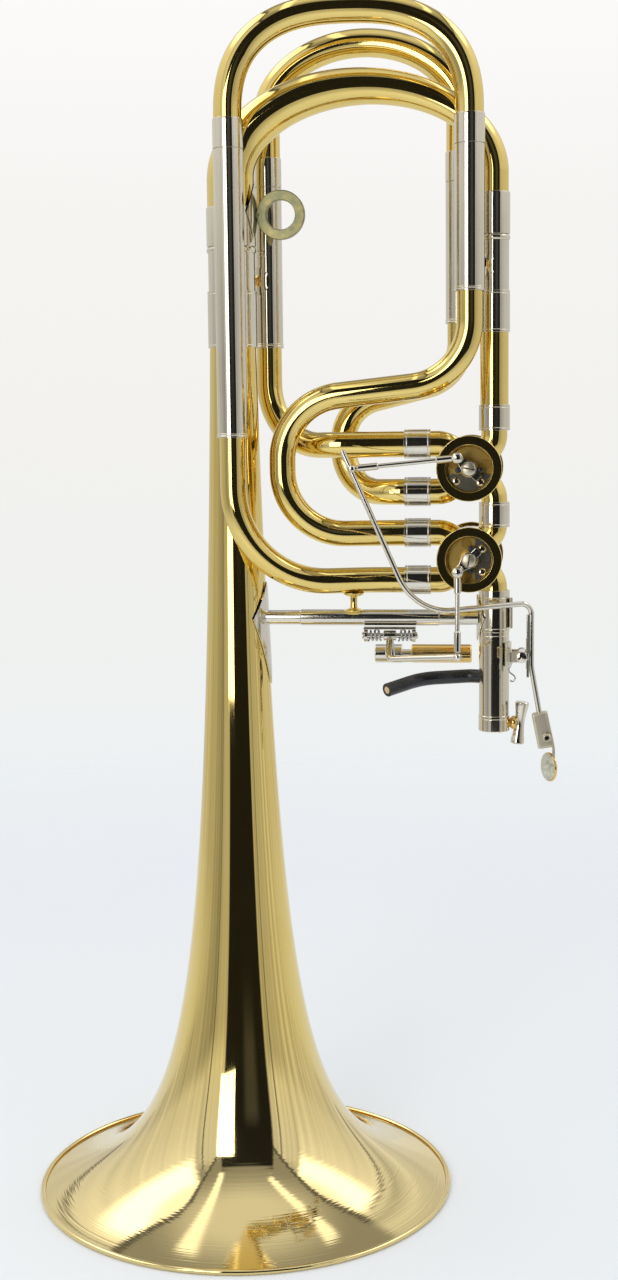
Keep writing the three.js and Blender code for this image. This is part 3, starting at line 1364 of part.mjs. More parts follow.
const fingerRear = bar(bentRoute([
  [fingerHubX, fingerPivotY + fingerHubRadius / 2, fingerPivotZ - fingerHubRadius / 2],
  [fingerHubX, fingerPivotY + 3 * fingerKneeRadius, fingerRearZ, 2 * fingerKneeRadius],
  [clampMiddle, fingerRearY, fingerRearZ],
]), fingerRodRadius);
const barrel = rod(fingerGripRadius, fingerClampLeft, fingerClampRight, 'x',
  [0, fingerRearY, fingerRearZ], turnedSides);
const spindle = rod(fingerSpindleRadius, fingerClampRight - fingerCoreOverlap, fingerGripLeft - seam, 'x',
  [0, fingerRearY, fingerRearZ], 12);
const spindleCore = rod(fingerSpindleRadius / 2, fingerGripLeft - fingerCoreOverlap,
  fingerGripLeft + fingerCoreLength, 'x', [0, fingerRearY, fingerRearZ], 10);
const fingerLever = joined(fingerHub, fingerFront, fingerBall, fingerRear, barrel, spindle,
  spindleCore).subtract(fingerHubBore);
addPiece('finger_lever', fingerLever, nickel, 0.15);
const gripBody = rod(fingerGripRadius, fingerGripLeft, fingerGripRight, 'x',
  [0, fingerRearY, fingerRearZ], turnedSides);
const gripBore = rod(fingerSpindleRadius / 2 + seam, fingerGripLeft - fingerCoreOverlap,
  fingerGripLeft + fingerCoreLength + seam, 'x', [0, fingerRearY, fingerRearZ], 10);
addPiece('finger_grip', gripBody.subtract(gripBore), brass, 0.2);

const plateMiddle = (fingerLugLeft + fingerLugRight) / 2;
const plateLength = fingerLugRight - fingerLugLeft + 2 * fingerLugThickness;
const fingerPlate = block(plateLength, fingerPlateDepth, fingerPlateThickness,
  [plateMiddle, fingerPivotY, fingerPlateTop - fingerPlateThickness / 2]);
const fingerLugs = [fingerLugLeft, fingerLugRight].map((x) => {
  const left = x - fingerLugThickness / 2;
  const disc0 = rod(fingerLugRadius, left, left + fingerLugThickness, 'x', fingerAt, 14);
  const neck = block(fingerLugThickness, fingerLugRadius, fingerPlateTop - fingerPivotZ,
    [x, fingerPivotY, (fingerPlateTop + fingerPivotZ) / 2]);
  return disc0.add(neck);
});
const fingerPin = rod(fingerPinRadius, fingerLugLeft, fingerLugRight, 'x', fingerAt, 12);
const braceBelow = rod(braceRadius + seam, fingerLugLeft - fingerBraceClearance,
  fingerLugRight + fingerBraceClearance, 'x', [0, braceY, braceZ], 16);
const bracket = joined(fingerPlate, ...fingerLugs, fingerPin).subtract(braceBelow);
addPiece('finger_hinge_bracket', bracket, nickel, 0.2);
[['left', (fingerLugLeft + hubLeft) / 2], ['right', (hubRight + fingerLugRight) / 2]]
  .forEach(([side, x]) => {
    const room = fingerLugRight - hubRight - fingerLugThickness / 2 - 4 * fingerSpringWire;
    const spring = coilSpring(fingerSpringRadius, fingerSpringWire, fingerSpringTurns,
      room, 'x', [x, fingerPivotY, fingerPivotZ], fingerSpringTail);
    addPiece(`finger_spring_${side}`, spring, steel, 0.3);
  });

console.log('least gap between turns of a spring', leastSelfGap.toFixed(2));

const bassTrombone = new THREE.Group();
bassTrombone.add(instrument);

export default bassTrombone;
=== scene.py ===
# %% [markdown]
# # A bass trombone's bell section, dressed in Blender
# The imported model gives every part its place. This notebook makes the smooth, shining surface
# of each part, one kind of part at a time, and then lights and looks at the whole.

# %% Start: the fixed frame
import json
import math
import bmesh
import bpy
from mathutils import Matrix, Vector

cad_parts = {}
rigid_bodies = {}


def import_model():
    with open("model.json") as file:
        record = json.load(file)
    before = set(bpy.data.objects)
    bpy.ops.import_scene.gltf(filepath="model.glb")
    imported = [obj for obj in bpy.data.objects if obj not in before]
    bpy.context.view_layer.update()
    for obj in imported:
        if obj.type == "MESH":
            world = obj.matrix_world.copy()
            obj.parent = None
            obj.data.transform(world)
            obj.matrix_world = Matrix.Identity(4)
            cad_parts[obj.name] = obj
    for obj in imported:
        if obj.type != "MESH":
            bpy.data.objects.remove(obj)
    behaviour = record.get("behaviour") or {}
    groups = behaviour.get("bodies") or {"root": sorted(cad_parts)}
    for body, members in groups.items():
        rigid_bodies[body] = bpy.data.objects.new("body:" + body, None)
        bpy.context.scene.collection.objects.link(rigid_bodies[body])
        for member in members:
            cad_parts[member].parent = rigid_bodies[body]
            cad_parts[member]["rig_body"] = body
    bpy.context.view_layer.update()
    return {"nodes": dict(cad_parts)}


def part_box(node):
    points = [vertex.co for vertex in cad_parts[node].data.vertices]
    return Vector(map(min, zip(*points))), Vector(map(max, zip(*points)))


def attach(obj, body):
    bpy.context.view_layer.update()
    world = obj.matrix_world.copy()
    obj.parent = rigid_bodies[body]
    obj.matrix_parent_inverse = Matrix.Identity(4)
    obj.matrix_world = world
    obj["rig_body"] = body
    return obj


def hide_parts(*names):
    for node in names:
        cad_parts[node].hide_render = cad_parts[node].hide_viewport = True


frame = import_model()
bell_low, bell_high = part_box("bell")
axis_x = (bell_low.x + bell_high.x) / 2
MM = 0.001
to_frame = Matrix.Translation((axis_x, 0, 0)) @ Matrix.Scale(MM, 4)
print("the bell's axis stands at", round(axis_x, 5), "m")

# %% [markdown]
# ## Numbers that run through nodes
# A finish is a small calculation: scratches make a number, the number makes a roughness.
# Written with node links alone it is hard to read, so a number in the node tree gets Python's
# own operators here, and one method makes every other node.

# %% A number in the nodes
class Signal:
    def __init__(self, finish, socket):
        self.finish = finish
        self.socket = socket

    def worked(self, operation, *values):
        return self.finish.node("ShaderNodeMath", dict(enumerate(values)), operation=operation)

    def __add__(self, other): return self.worked("ADD", self, other)
    def __radd__(self, other): return self.worked("ADD", other, self)
    def __sub__(self, other): return self.worked("SUBTRACT", self, other)
    def __rsub__(self, other): return self.worked("SUBTRACT", other, self)
    def __mul__(self, other): return self.worked("MULTIPLY", self, other)
    def __rmul__(self, other): return self.worked("MULTIPLY", other, self)
    def __truediv__(self, other): return self.worked("DIVIDE", self, other)
    def __rtruediv__(self, other): return self.worked("DIVIDE", other, self)
    def __neg__(self): return self.worked("MULTIPLY", self, -1.0)

    def between(self, low, high):
        """0 below low, 1 above high, and a smooth step from one to the other."""
        limits = {"Value": self, "From Min": low, "From Max": high}
        return self.finish.node("ShaderNodeMapRange", limits, interpolation_type="SMOOTHSTEP")


class Finish:
    """A tree of nodes, of a material or of the world."""

    def __init__(self, owner):
        owner.use_nodes = True
        self.owner = owner
        self.tree = owner.node_tree

    def feed(self, socket, value):
        if isinstance(value, Signal):
            self.tree.links.new(value.socket, socket)
        else:
            socket.default_value = value

    def node(self, kind, inputs=None, output=0, stops=None, **settings):
        made = self.tree.nodes.new(kind)
        for setting, value in settings.items():
            setattr(made, setting, value)
        if stops:
            while len(made.color_ramp.elements) < len(stops):
                made.color_ramp.elements.new(1.0)
            for element, (place, colour) in zip(made.color_ramp.elements, stops):
                element.position = place
                element.color = (*colour, 1.0)
        for name, value in (inputs or {}).items():
            self.feed(made.inputs[name], value)
        return Signal(self, made.outputs[output])

    def mixed(self, share, first, second):
        colours = {0: share, 6: first, 7: second}
        return self.node("ShaderNodeMix", colours, 2, data_type="RGBA")

    def spot(self, stretch=(1, 1, 1)):
        """Object coordinates from the bell's axis, in metres, drawn out along an axis."""
        at = self.node("ShaderNodeTexCoord", output="Object")
        shift = {"Vector": at, "Location": (-axis_x * stretch[0], 0, 0), "Scale": stretch}
        return self.node("ShaderNodeMapping", shift)

    def noise(self, size, detail=2.0, stretch=(1, 1, 1), roughness=0.5):
        told = {"Vector": self.spot(stretch), "Scale": size, "Detail": detail,
                "Roughness": roughness}
        return self.node("ShaderNodeTexNoise", told)

    def reach(self, stretch=(1, 1, 1)):
        """Distance from the foot of the bell's axis, or with (1, 1, 0) from the axis itself."""
        spot = {"Vector": self.spot(stretch)}
        return self.node("ShaderNodeVectorMath", spot, 1, operation="LENGTH")

    def ramped(self, share, *stops):
        """Colours along a ramp; a stop is a place from 0 to 1 and a colour."""
        return self.node("ShaderNodeValToRGB", {"Fac": share}, stops=stops)

    def dented(self, height, strength, distance=0.001):
        told = {"Height": height, "Strength": strength, "Distance": distance}
        return self.node("ShaderNodeBump", told)


def surface(name):
    finish = Finish(bpy.data.materials.new(name))
    finish.shader = finish.tree.nodes["Principled BSDF"]
    return finish


def set_shader(finish, **values):
    for name, value in values.items():
        finish.feed(finish.shader.inputs[name.replace("_", " ")], value)
    return finish.owner


print("finishes can be written as sums and products now")

# %% [markdown]
# ## Finishes
# The tubes are lacquered brass, polished like a mirror: a metal's colour is in its
# reflections, so the finish is mostly a warm base colour with very low roughness. What makes
# it look used is faint: cloudy patches, a touch more red where the lacquer is thick, and hair
# lines from wiping. The slides and fittings are nickel silver, a warm grey metal that is
# drawn and buffed along its length.

# %% Lacquered brass
def brass_finish(name, colour, warm, gloss=0.03, spun=0.0):
    """Lacquered brass. A spun piece also has fine turning rings and paler metal near its rim."""
    finish = surface(name)
    cloud = finish.noise(38, 3).between(0.35, 0.7)
    wiping = finish.noise(420, 3, (1, 1, 0.12))
    roughness = cloud * 0.02 + wiping * 0.03 + gloss
    normal = finish.dented(wiping, 0.008, 0.0004)
    shade = finish.mixed(cloud * 0.5, colour, warm)
    if spun:
        at = finish.node("ShaderNodeSeparateXYZ", {"Vector": finish.spot()})
        height = Signal(finish, at.socket.node.outputs["Z"])
        near_rim, paler = 1 - height.between(0.03, 0.075), 1 - height.between(0.03, 0.11)
        shade = finish.mixed(paler, shade, (0.78, 0.63, 0.30, 1))
        told = {"W": finish.reach((1, 1, 0)), "Scale": 800.0, "Detail": 1.0}
        rings = finish.node("ShaderNodeTexNoise", told, noise_dimensions="1D")
        normal = finish.node("ShaderNodeBump", {"Height": rings * near_rim, "Strength": spun,
                                                "Distance": 0.0001, "Normal": normal})
        roughness = roughness + near_rim * 0.02
    return set_shader(finish, Base_Color=shade, Metallic=1.0, Roughness=roughness, Normal=normal)


brass = brass_finish("lacquered_brass", (0.79, 0.61, 0.21, 1), (0.77, 0.57, 0.18, 1))
bell_brass = brass_finish("spun_bell_brass", (0.79, 0.61, 0.215, 1), (0.77, 0.58, 0.19, 1),
                          0.02, 0.3)
warm_brass = brass_finish("warm_brass", (0.78, 0.53, 0.19, 1), (0.72, 0.46, 0.14, 1), 0.13)
cast_brass = brass_finish("cast_brass", (0.70, 0.47, 0.13, 1), (0.60, 0.38, 0.09, 1), 0.26)
shaded_brass = brass_finish("shaded_brass", (0.34, 0.21, 0.05, 1), (0.24, 0.14, 0.03, 1), 0.4)
print("brass:", [m.name for m in (brass, bell_brass, warm_brass)])

# %% Nickel silver, and the steel of pins and springs
def nickel_finish(name, colour, shade, gloss=0.05, along=(1, 1, 0.04)):
    finish = surface(name)
    drawn = finish.noise(900, 2, along)
    cloud = finish.noise(30, 2).between(0.3, 0.75)
    roughness = drawn * 0.04 + cloud * 0.02 + gloss
    return set_shader(finish, Base_Color=finish.mixed(cloud * 0.6, colour, shade), Metallic=1.0,
                      Roughness=roughness, Normal=finish.dented(drawn, 0.015, 0.0003))


nickel = nickel_finish("nickel_silver", (0.73, 0.67, 0.54, 1), (0.65, 0.59, 0.46, 1))
nickel_across = nickel_finish("nickel_silver_rods", (0.73, 0.69, 0.60, 1),
                              (0.65, 0.61, 0.52, 1), 0.05, (0.2, 1, 1))
satin_nickel = nickel_finish("satin_nickel", (0.66, 0.60, 0.46, 1), (0.56, 0.50, 0.38, 1), 0.34)
dull_steel = nickel_finish("dull_steel", (0.60, 0.56, 0.42, 1), (0.50, 0.46, 0.34, 1), 0.16,
                           (1, 1, 1))
steel = nickel_finish("spring_steel", (0.52, 0.51, 0.50, 1), (0.42, 0.41, 0.40, 1), 0.2,
                      (1, 1, 1))
print("grey metals:", [m.name for m in (nickel, nickel_across, steel)])

# %% Aged brass, rubber, cork and pearl
def aged_brass_finish():
    finish = surface("aged_brass")
    blotch = finish.noise(160, 5, roughness=0.65)
    colour = finish.ramped(blotch, (0.2, (0.10, 0.12, 0.085)), (0.45, (0.24, 0.23, 0.12)),
                           (0.62, (0.36, 0.31, 0.14)), (0.85, (0.62, 0.50, 0.24)))
    grain = finish.noise(1500, 2)
    return set_shader(finish, Base_Color=colour, Metallic=0.92, Roughness=blotch * 0.25 + 0.2,
                      Normal=finish.dented(grain, 0.12, 0.0003))


def rubber_finish():
    finish = surface("black_rubber")
    bloom = finish.noise(70, 4).between(0.45, 0.8)
    pores = finish.noise(2600, 2)
    colour = finish.mixed(bloom * 0.5, (0.009, 0.009, 0.011, 1), (0.028, 0.029, 0.034, 1))
    return set_shader(finish, Base_Color=colour, Roughness=bloom * 0.2 + 0.22,
                      Normal=finish.dented(pores, 0.08, 0.0003))


def cork_finish():
    finish = surface("bare_rod")
    cells = finish.noise(900, 4, roughness=0.7)
    colour = finish.ramped(cells, (0.3, (0.34, 0.21, 0.11)), (0.5, (0.60, 0.43, 0.27)),
                           (0.75, (0.72, 0.55, 0.37)))
    return set_shader(finish, Base_Color=colour, Roughness=0.7,
                      Normal=finish.dented(cells, 0.3, 0.0004))


def pearl_finish():
    finish = surface("pearl_disc")
    sheets = finish.noise(190, 3, (1, 1, 2.5)).between(0.3, 0.7)
    colour = finish.ramped(sheets, (0.0, (0.30, 0.30, 0.22)), (0.35, (0.50, 0.48, 0.37)),
                           (0.65, (0.38, 0.38, 0.29)), (1.0, (0.60, 0.58, 0.47)))
    return set_shader(finish, Base_Color=colour, Roughness=sheets * 0.12 + 0.16,
                      Coat_Weight=0.6, Coat_Roughness=0.08,
                      Normal=finish.dented(sheets, 0.05, 0.0004))


aged_brass, rubber, cork, pearl = (aged_brass_finish(), rubber_finish(), cork_finish(),
                                   pearl_finish())
print("other finishes:", [m.name for m in (aged_brass, rubber, cork, pearl)])

# %% [markdown]
# ## Turned shapes
# Most fittings are turned on a lathe. The same is done here: a few vertices draw half of the
# section, their corners are rounded while they are still a wire, and a spin closes the shape.

# %% Spin a profile
axis_turns = {"x": Matrix.Rotation(math.pi / 2, 4, "Y"), "z": Matrix.Identity(4),
              "y": Matrix.Rotation(-math.pi / 2, 4, "X")}
real_corner = 0.45  # radians: a line that turns by less is part of a curve


def all_of(shape):
    return shape.verts[:] + shape.edges[:] + shape.faces[:]


def rounded(shape, geom, offset, affect, segments=3, clamp=True):
    """Bevels corners (VERTICES) or edges (EDGES) to a round."""
    bmesh.ops.bevel(shape, geom=geom, offset=offset, affect=affect, segments=segments,
                    profile=0.5, material=-1, clamp_overlap=clamp)


def turned(profile, axis="z", at=(0, 0, 0), sides=48, soften=0.25):
    """A turned shape from (radius, height) pairs in millimetres, its real corners rounded."""
    shape = bmesh.new()
    corners = [shape.verts.new((radius, 0, height)) for radius, height in profile]
    closed = profile[0][0] > 0 or profile[-1][0] > 0
    for first, second in zip(corners, corners[1:]):
        shape.edges.new((first, second))
    if closed:
        shape.edges.new((corners[-1], corners[0]))
    if soften:
        sharp = [v for v in corners if len(v.link_edges) == 2 and turn_at(v) > real_corner]
        rounded(shape, sharp, soften, "VERTICES")
    bmesh.ops.spin(shape, geom=shape.verts[:] + shape.edges[:], cent=(0, 0, 0),
                   axis=(0, 0, 1), angle=2 * math.pi, steps=sides, use_merge=True)
    bmesh.ops.remove_doubles(shape, verts=shape.verts, dist=1e-4)
    return settled(shape, Matrix.Translation(at) @ axis_turns[axis])


def turn_at(vertex):
    centre = vertex.co
    one, two = [edge.other_vert(vertex).co - centre for edge in vertex.link_edges]
    return math.pi - one.angle(two, math.pi)


def settled(shape, place=Matrix.Identity(4)):
    """Moved to its place, with every face pointing outwards."""
    bmesh.ops.transform(shape, matrix=place, verts=shape.verts)
    bmesh.ops.recalc_face_normals(shape, faces=shape.faces)
    return shape


def aimed(shape, start, end):
    """A shape made along +Z turns towards end and moves to start."""
    way = Vector(end) - Vector(start)
    turn = Vector((0, 0, 1)).rotation_difference(way).to_matrix().to_4x4()
    return settled(shape, Matrix.Translation(start) @ turn)


def rod(radius, low, high, axis="z", at=(0, 0, 0), sides=32, soften=0.2):
    return turned([(0, low), (radius, low), (radius, high), (0, high)], axis, at, sides, soften)


print("a lathe is ready")

# %% [markdown]
# ## Drawn shapes
# A tube starts as a circle of vertices. Its edge is extruded from station to station along
# the route and turned with it, which bends the tube without a twist.

# %% Routes
def bent_route(corners, step=math.radians(4)):
    """(place, direction) pairs along straights and arcs; a corner is (x, y, z, bend radius)."""
    points = [Vector(corner[:3]) for corner in corners]
    legs = [(b - a).normalized() for a, b in zip(points, points[1:])]
    stations = [(points[0], legs[0])]
    for corner, point, into, out in zip(corners[1:], points[1:], legs, legs[1:]):
        radius, turn = corner[3], into.angle(out)
        start = point - into * radius * math.tan(turn / 2)
        side = (out - into * out.dot(into)).normalized()
        steps = max(2, math.ceil(turn / step))
        for angle in (turn * k / steps for k in range(steps + 1)):
            place = (start + into * radius * math.sin(angle)
                     + side * radius * (1 - math.cos(angle)))
            stations.append((place, into * math.cos(angle) + side * math.sin(angle)))
    stations.append((points[-1], legs[-1]))
    return stations


def arch_route(left, right, feet, base, rise, fullness=2.0, steps=96):
    """Up one leg, over half an oval and down the other; a fuller oval has squarer shoulders."""
    left, right = Vector(left), Vector(right)
    middle, half = (left + right) / 2, (right - left) / 2
    places = [Vector((*left, feet[0]))]
    for angle in (math.pi * (1 - k / steps) for k in range(steps + 1)):
        across, up = math.cos(angle), max(0.0, math.sin(angle))
        spot = middle + half * math.copysign(abs(across) ** (2 / fullness), across)
        places.append(Vector((*spot, base + rise * up ** (2 / fullness))))
    places.append(Vector((*right, feet[1])))
    ways = [(after - before).normalized() for before, after in zip(places, places[2:])]
    ways[0], ways[-1] = Vector((0, 0, 1)), Vector((0, 0, -1))
    return list(zip(places, ways[:1] + ways + ways[-1:]))


# %% Draw a circle along a route
def drawn(stations, radii, sides=40, section=None):
    """Extrudes a circle, or the outline in section, along the stations and closes both ends."""
    if not hasattr(radii, "__len__"):
        radii = [radii] * len(stations)
    shape = bmesh.new()
    if section:
        corners = [shape.verts.new((x, y, 0)) for x, y in section]
        edges = [shape.edges.new(pair) for pair in zip(corners, corners[1:] + corners[:1])]
    else:
        corners = bmesh.ops.create_circle(shape, segments=sides, radius=1)["verts"]
        edges = shape.edges[:]
    place, way = stations[0]
    turn = Vector((0, 0, 1)).rotation_difference(way).to_matrix().to_4x4()
    at = Matrix.Translation(place) @ turn @ Matrix.Scale(radii[0], 4)
    bmesh.ops.transform(shape, matrix=at, verts=corners)
    ends = [list(edges)]
    for k in range(1, len(stations)):
        new_place, new_way = stations[k]
        if (new_place - place).length < 1e-6:
            continue
        made = bmesh.ops.extrude_edge_only(shape, edges=edges)["geom"]
        moved = {v for v in made if isinstance(v, bmesh.types.BMVert)}
        edges = [e for e in made if isinstance(e, bmesh.types.BMEdge) and set(e.verts) <= moved]
        turn = way.rotation_difference(new_way).to_matrix().to_4x4()
        grow = Matrix.Scale(radii[k] / radii[k - 1], 4)
        step = Matrix.Translation(new_place) @ turn @ grow @ Matrix.Translation(-place)
        bmesh.ops.transform(shape, matrix=step, verts=list(moved))
        place, way = new_place, new_way
    ends.append(edges)
    for end in ends:
        bmesh.ops.edgeloop_fill(shape, edges=end)
    return settled(shape)


def block(size, at, turn=Matrix.Identity(4), soften=0.3):
    """A box with rounded edges."""
    shape = bmesh.new()
    bmesh.ops.create_cube(shape, size=1, matrix=Matrix.Diagonal((*size, 1)))
    rounded(shape, shape.edges[:] + shape.verts[:], soften, "EDGES")
    return settled(shape, Matrix.Translation(at) @ turn)


def ball(radius, at, stretch=(1, 1, 1)):
    shape = bmesh.new()
    bmesh.ops.create_uvsphere(shape, u_segments=32, v_segments=20, radius=radius,
                              matrix=Matrix.Diagonal((*stretch, 1)))
    return settled(shape, Matrix.Translation(at))


elbow = bent_route([(0, 0, 0), (9, 0, 0, 3), (9, 9, 0)])
print("an elbow is drawn along", len(elbow), "stations")

# %% [markdown]
# ## Saddles
# Where a post meets a tube it stands on a thin plate, cut as a kite or a disc and hammered to
# the tube's curve. The plate is cut flat here, thickened, and then wrapped round the tube.

# %% Plates that follow a round surface
def disc_plate(radius, thickness, rings=6):
    """A flat disc across X and Z, its thickness along Y."""
    shape = bmesh.new()
    line = [shape.verts.new((radius * k / rings, 0, 0)) for k in range(rings + 1)]
    edges = [shape.edges.new(pair) for pair in zip(line, line[1:])]
    bmesh.ops.spin(shape, geom=line + edges, cent=(0, 0, 0), axis=(0, 1, 0),
                   angle=2 * math.pi, steps=48, use_merge=True)
    bmesh.ops.remove_doubles(shape, verts=shape.verts, dist=1e-5)
    return thickened(shape, thickness)


def kite_plate(top, bottom, half_width, thickness):
    """A flat kite across X and Z, its long points up and down."""
    shape = bmesh.new()
    lie = Matrix.Translation((0, 0, (top - bottom) / 2)) @ Matrix.Rotation(math.pi / 2, 4, "X")
    grow = Matrix.Diagonal((half_width, (top + bottom) / 2, 1, 1))
    bmesh.ops.create_grid(shape, x_segments=24, y_segments=44, size=1, matrix=lie @ grow)
    for side in (-1, 1):
        for tip in (top, -bottom):
            edge = Vector((side * abs(tip), 0, half_width * math.copysign(1, tip)))
            bmesh.ops.bisect_plane(shape, geom=all_of(shape), plane_co=(0, 0, tip),
                                   plane_no=edge, clear_outer=True)
    return thickened(shape, thickness)


def thickened(shape, thickness):
    bmesh.ops.recalc_face_normals(shape, faces=shape.faces)
    bmesh.ops.solidify(shape, geom=shape.faces[:], thickness=thickness)
    low = min(v.co.y for v in shape.verts)
    bmesh.ops.translate(shape, vec=(0, -low, 0), verts=shape.verts)
    return shape


def wrapped(shape, centre, towards, height, radius):
    """Bends a flat plate round an upright tube, its middle facing the direction towards."""
    facing = math.atan2(towards[1], towards[0])
    for vertex in shape.verts:
        along, out, up = vertex.co
        reach = radius(height + up) if callable(radius) else radius
        angle = facing + along / reach
        vertex.co = (centre[0] + (reach + out) * math.cos(angle),
                     centre[1] + (reach + out) * math.sin(angle), height + up)
    return settled(shape)


print("plates can be wrapped")

# %% [markdown]
# ## Finished pieces
# A piece is joined from its shapes, scaled from millimetres to metres, smoothed except at its
# sharp edges, and rides on the body of the node that it stands for. A mirror shows every wrong
# normal, so the long faces of a tube lead and the narrow ones at its rounded edge follow.

# %% Finish a piece
BRASS, NICKEL, SPRING = "lacquered_brass", "nickel_silver", "spring_steel"
made_pieces = []


def coated(shape, index):
    """Gives a shape the finish at this place in its piece's list."""
    for face in shape.faces:
        face.material_index = index
    return shape


def placed(name, data):
    """A new object in the scene: a mesh, a lamp or a camera."""
    thing = bpy.data.objects.new(name, data)
    bpy.context.scene.collection.objects.link(thing)
    return thing


def together(*shapes):
    """One mesh from several, in their order."""
    whole = bmesh.new()
    for shape in shapes:
        passing = bpy.data.meshes.new("passing")
        shape.to_mesh(passing)
        shape.free()
        whole.from_mesh(passing)
        bpy.data.meshes.remove(passing)
    return whole


def finished(node, making, slot, finishes, *shapes, sharp=38):
    """Joins the shapes into one piece, named for its node and its making, that replaces it."""
    whole = together(*shapes)
    bmesh.ops.transform(whole, matrix=to_frame, verts=whole.verts)
    name = f"{node}_{making}"
    mesh = bpy.data.meshes.new(name)
    whole.to_mesh(mesh)
    whole.free()
    mesh.shade_smooth()
    mesh.set_sharp_from_angle(angle=math.radians(sharp))
    for finish in finishes if isinstance(finishes, list) else [finishes]:
        mesh.materials.append(finish)
    piece = placed(name, mesh)
    piece.modifiers.new("long_faces_lead", "WEIGHTED_NORMAL").keep_sharp = True
    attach(piece, frame["nodes"][node]["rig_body"])
    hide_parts(node)
    made_pieces.append(piece)


# %% [markdown]
# ## The bell
# A real bell is beaten from a flat sheet and spun over a mandrel, and its rim is rolled over a
# wire. Its flare follows a power law, so one profile of two close lines, outside and inside,
# with the wire's round section between them, gives the whole bell in a single spin.

# %% Bell profile
rim_radius, wire_radius, bell_wall = 120.65, 1.5, 0.6
throat, flare_start, stem_top, sharpness, flare_power = 12.9, 486.0, 500.0, 20.0, 0.6
skin_rim = rim_radius - 1.4 * wire_radius
flare_end = (1 + flare_start / sharpness) ** -flare_power


def bell_radius(z):
    share = ((1 + z / sharpness) ** -flare_power - flare_end) / (1 - flare_end)
    return throat + (skin_rim - throat) * share


def bell_slope(z):
    fall = -flare_power / sharpness * (1 + z / sharpness) ** (-flare_power - 1)
    return (skin_rim - throat) * fall / (1 - flare_end)


def bell_skin(offset, steps=110):
    """One side of the sheet; its stations lie closer together towards the rim."""
    line = []
    for z in (flare_start * (k / steps) ** 2 for k in range(steps + 1)):
        slope = bell_slope(z)
        lean = math.hypot(1, slope)
        line.append((bell_radius(z) + offset / lean, wire_radius + z - offset * slope / lean))
    return line


wire_centre = rim_radius - wire_radius
wire_turn = [math.radians(118 - 298 * k / 20) for k in range(21)]
rim_wire = [(wire_centre + wire_radius * math.cos(a), wire_radius + wire_radius * math.sin(a))
            for a in wire_turn]
outer_dip, inner_dip = (wire_centre - 1.25, 2.35), (wire_centre - 1.9, 0.9)
bell_line = (bell_skin(0)[::-1] + [outer_dip] + rim_wire + [inner_dip] + bell_skin(-bell_wall)
             + [(throat - bell_wall, stem_top), (throat, stem_top)])
print("bell profile:", len(bell_line), "points")

# %% Spin the bell
finished("bell", "skin", BRASS, bell_brass,
         turned(bell_line, sides=160, soften=0), sharp=50)

# %% [markdown]
# ## Bent tubes of the valve loops
# Each loop leaves a port of its valve, bends up into one sleeve, and comes back from the other.
# The corners and bend radii are those of the model, so the smooth tubes lie where its solids
# lie.

# %% Loop tubes
loop_radius, loop_end_x = 7.25, 103.0
ports = {"front_low": 356.1, "front_high": 382.5, "rear_low": 405.4, "rear_high": 431.8}
sleeves = {"front_left": (2.8, -24.0), "front_right": (132.5, -17.0),
           "rear_left": (17.5, 21.0), "rear_right": (126.4, 17.2)}
tube_corners = {
    "front_s_tube": [(132.5, -17, 520.7), (132.5, -17, 466.4, 35), (28.9, -14, 455.6, 35),
                     (28.9, -12, 382.5, 35), (86, 0, 382.5, 80), (loop_end_x, 0, 382.5)],
    "rear_s_tube": [(126.4, 17.2, 505.5), (126.4, 17.2, 469, 24), (60.3, 16.2, 453, 24),
                    (60.3, 16.2, 405.4, 24), (88.5, 0, 405.4, 26), (loop_end_x, 0, 405.4)],
    "front_return_tube": [(2.8, -24, 443.5), (2.8, -24, 356.1, 53), (75, 0, 356.1, 60),
                          (loop_end_x, 0, 356.1)],
    "rear_return_tube": [(17.5, 21, 493.8), (17.5, 21, 431.8, 35), (54, 0, 431.8, 28),
                         (loop_end_x, 0, 431.8)],
}
for node, corners in tube_corners.items():
    finished(node, "drawn", BRASS, brass, drawn(bent_route(corners), loop_radius))
print("tubes:", sorted(tube_corners))

# %% [markdown]
# ## Bows
# The bow of a slide is bent over a form to a flat arch. The main bow also grows wider on its
# way to the bell, so every station of its route has a radius of its own.

# %% Loop bows and the main bow
bow_radius, foot_depth, neck_x = 7.7, 10.7, 145.6
cap_tops = {"front": 606.9, "rear": 592.2}
for loop, base, rise, fullness in (("front", 607.4, 55.3, 2.55), ("rear", 613.0, 40.0, 2.0)):
    foot = cap_tops[loop] - foot_depth
    route = arch_route(sleeves[loop + "_left"], sleeves[loop + "_right"], (foot, foot), base,
                       rise, fullness)
    finished(loop + "_bow", "drawn", BRASS, brass, drawn(route, bow_radius))

wide, narrow, taper_share = 13.05, 7.7, 0.85
main_route = arch_route((0, 0), (neck_x, 0), (552.3, 556.9), 578.2, 47.9)
lengths = [0.0]
for (place, _), (after, _) in zip(main_route, main_route[1:]):
    lengths.append(lengths[-1] + (after - place).length)
main_radii = []
for run in lengths:
    share = (run - lengths[1]) / (lengths[-2] - lengths[1]) / taper_share
    main_radii.append(wide + (narrow - wide) * min(1, max(0, share)))
finished("main_bow", "drawn", BRASS, brass, drawn(main_route, main_radii, 56))
print("main bow:", round(lengths[-1]), "mm long")

# %% [markdown]
# ## Sleeves, legs and ferrules
# A loop slide is a pair of thin nickel sleeves with a ring at the open end, and inner legs with
# a cap of the same width, so that the closed slide looks like one tube with a fine seam. Every
# edge has a small radius: it is this radius that catches the light as a thin bright line.

# %% Sleeves and slide legs
sleeve_radius, sleeve_seat = 8.15, 8.35
sleeve_spans = {"front_left": (436.5, 590.8), "front_right": (513.7, 590.8),
                "rear_left": (486.8, 575.7), "rear_right": (498.5, 575.7)}


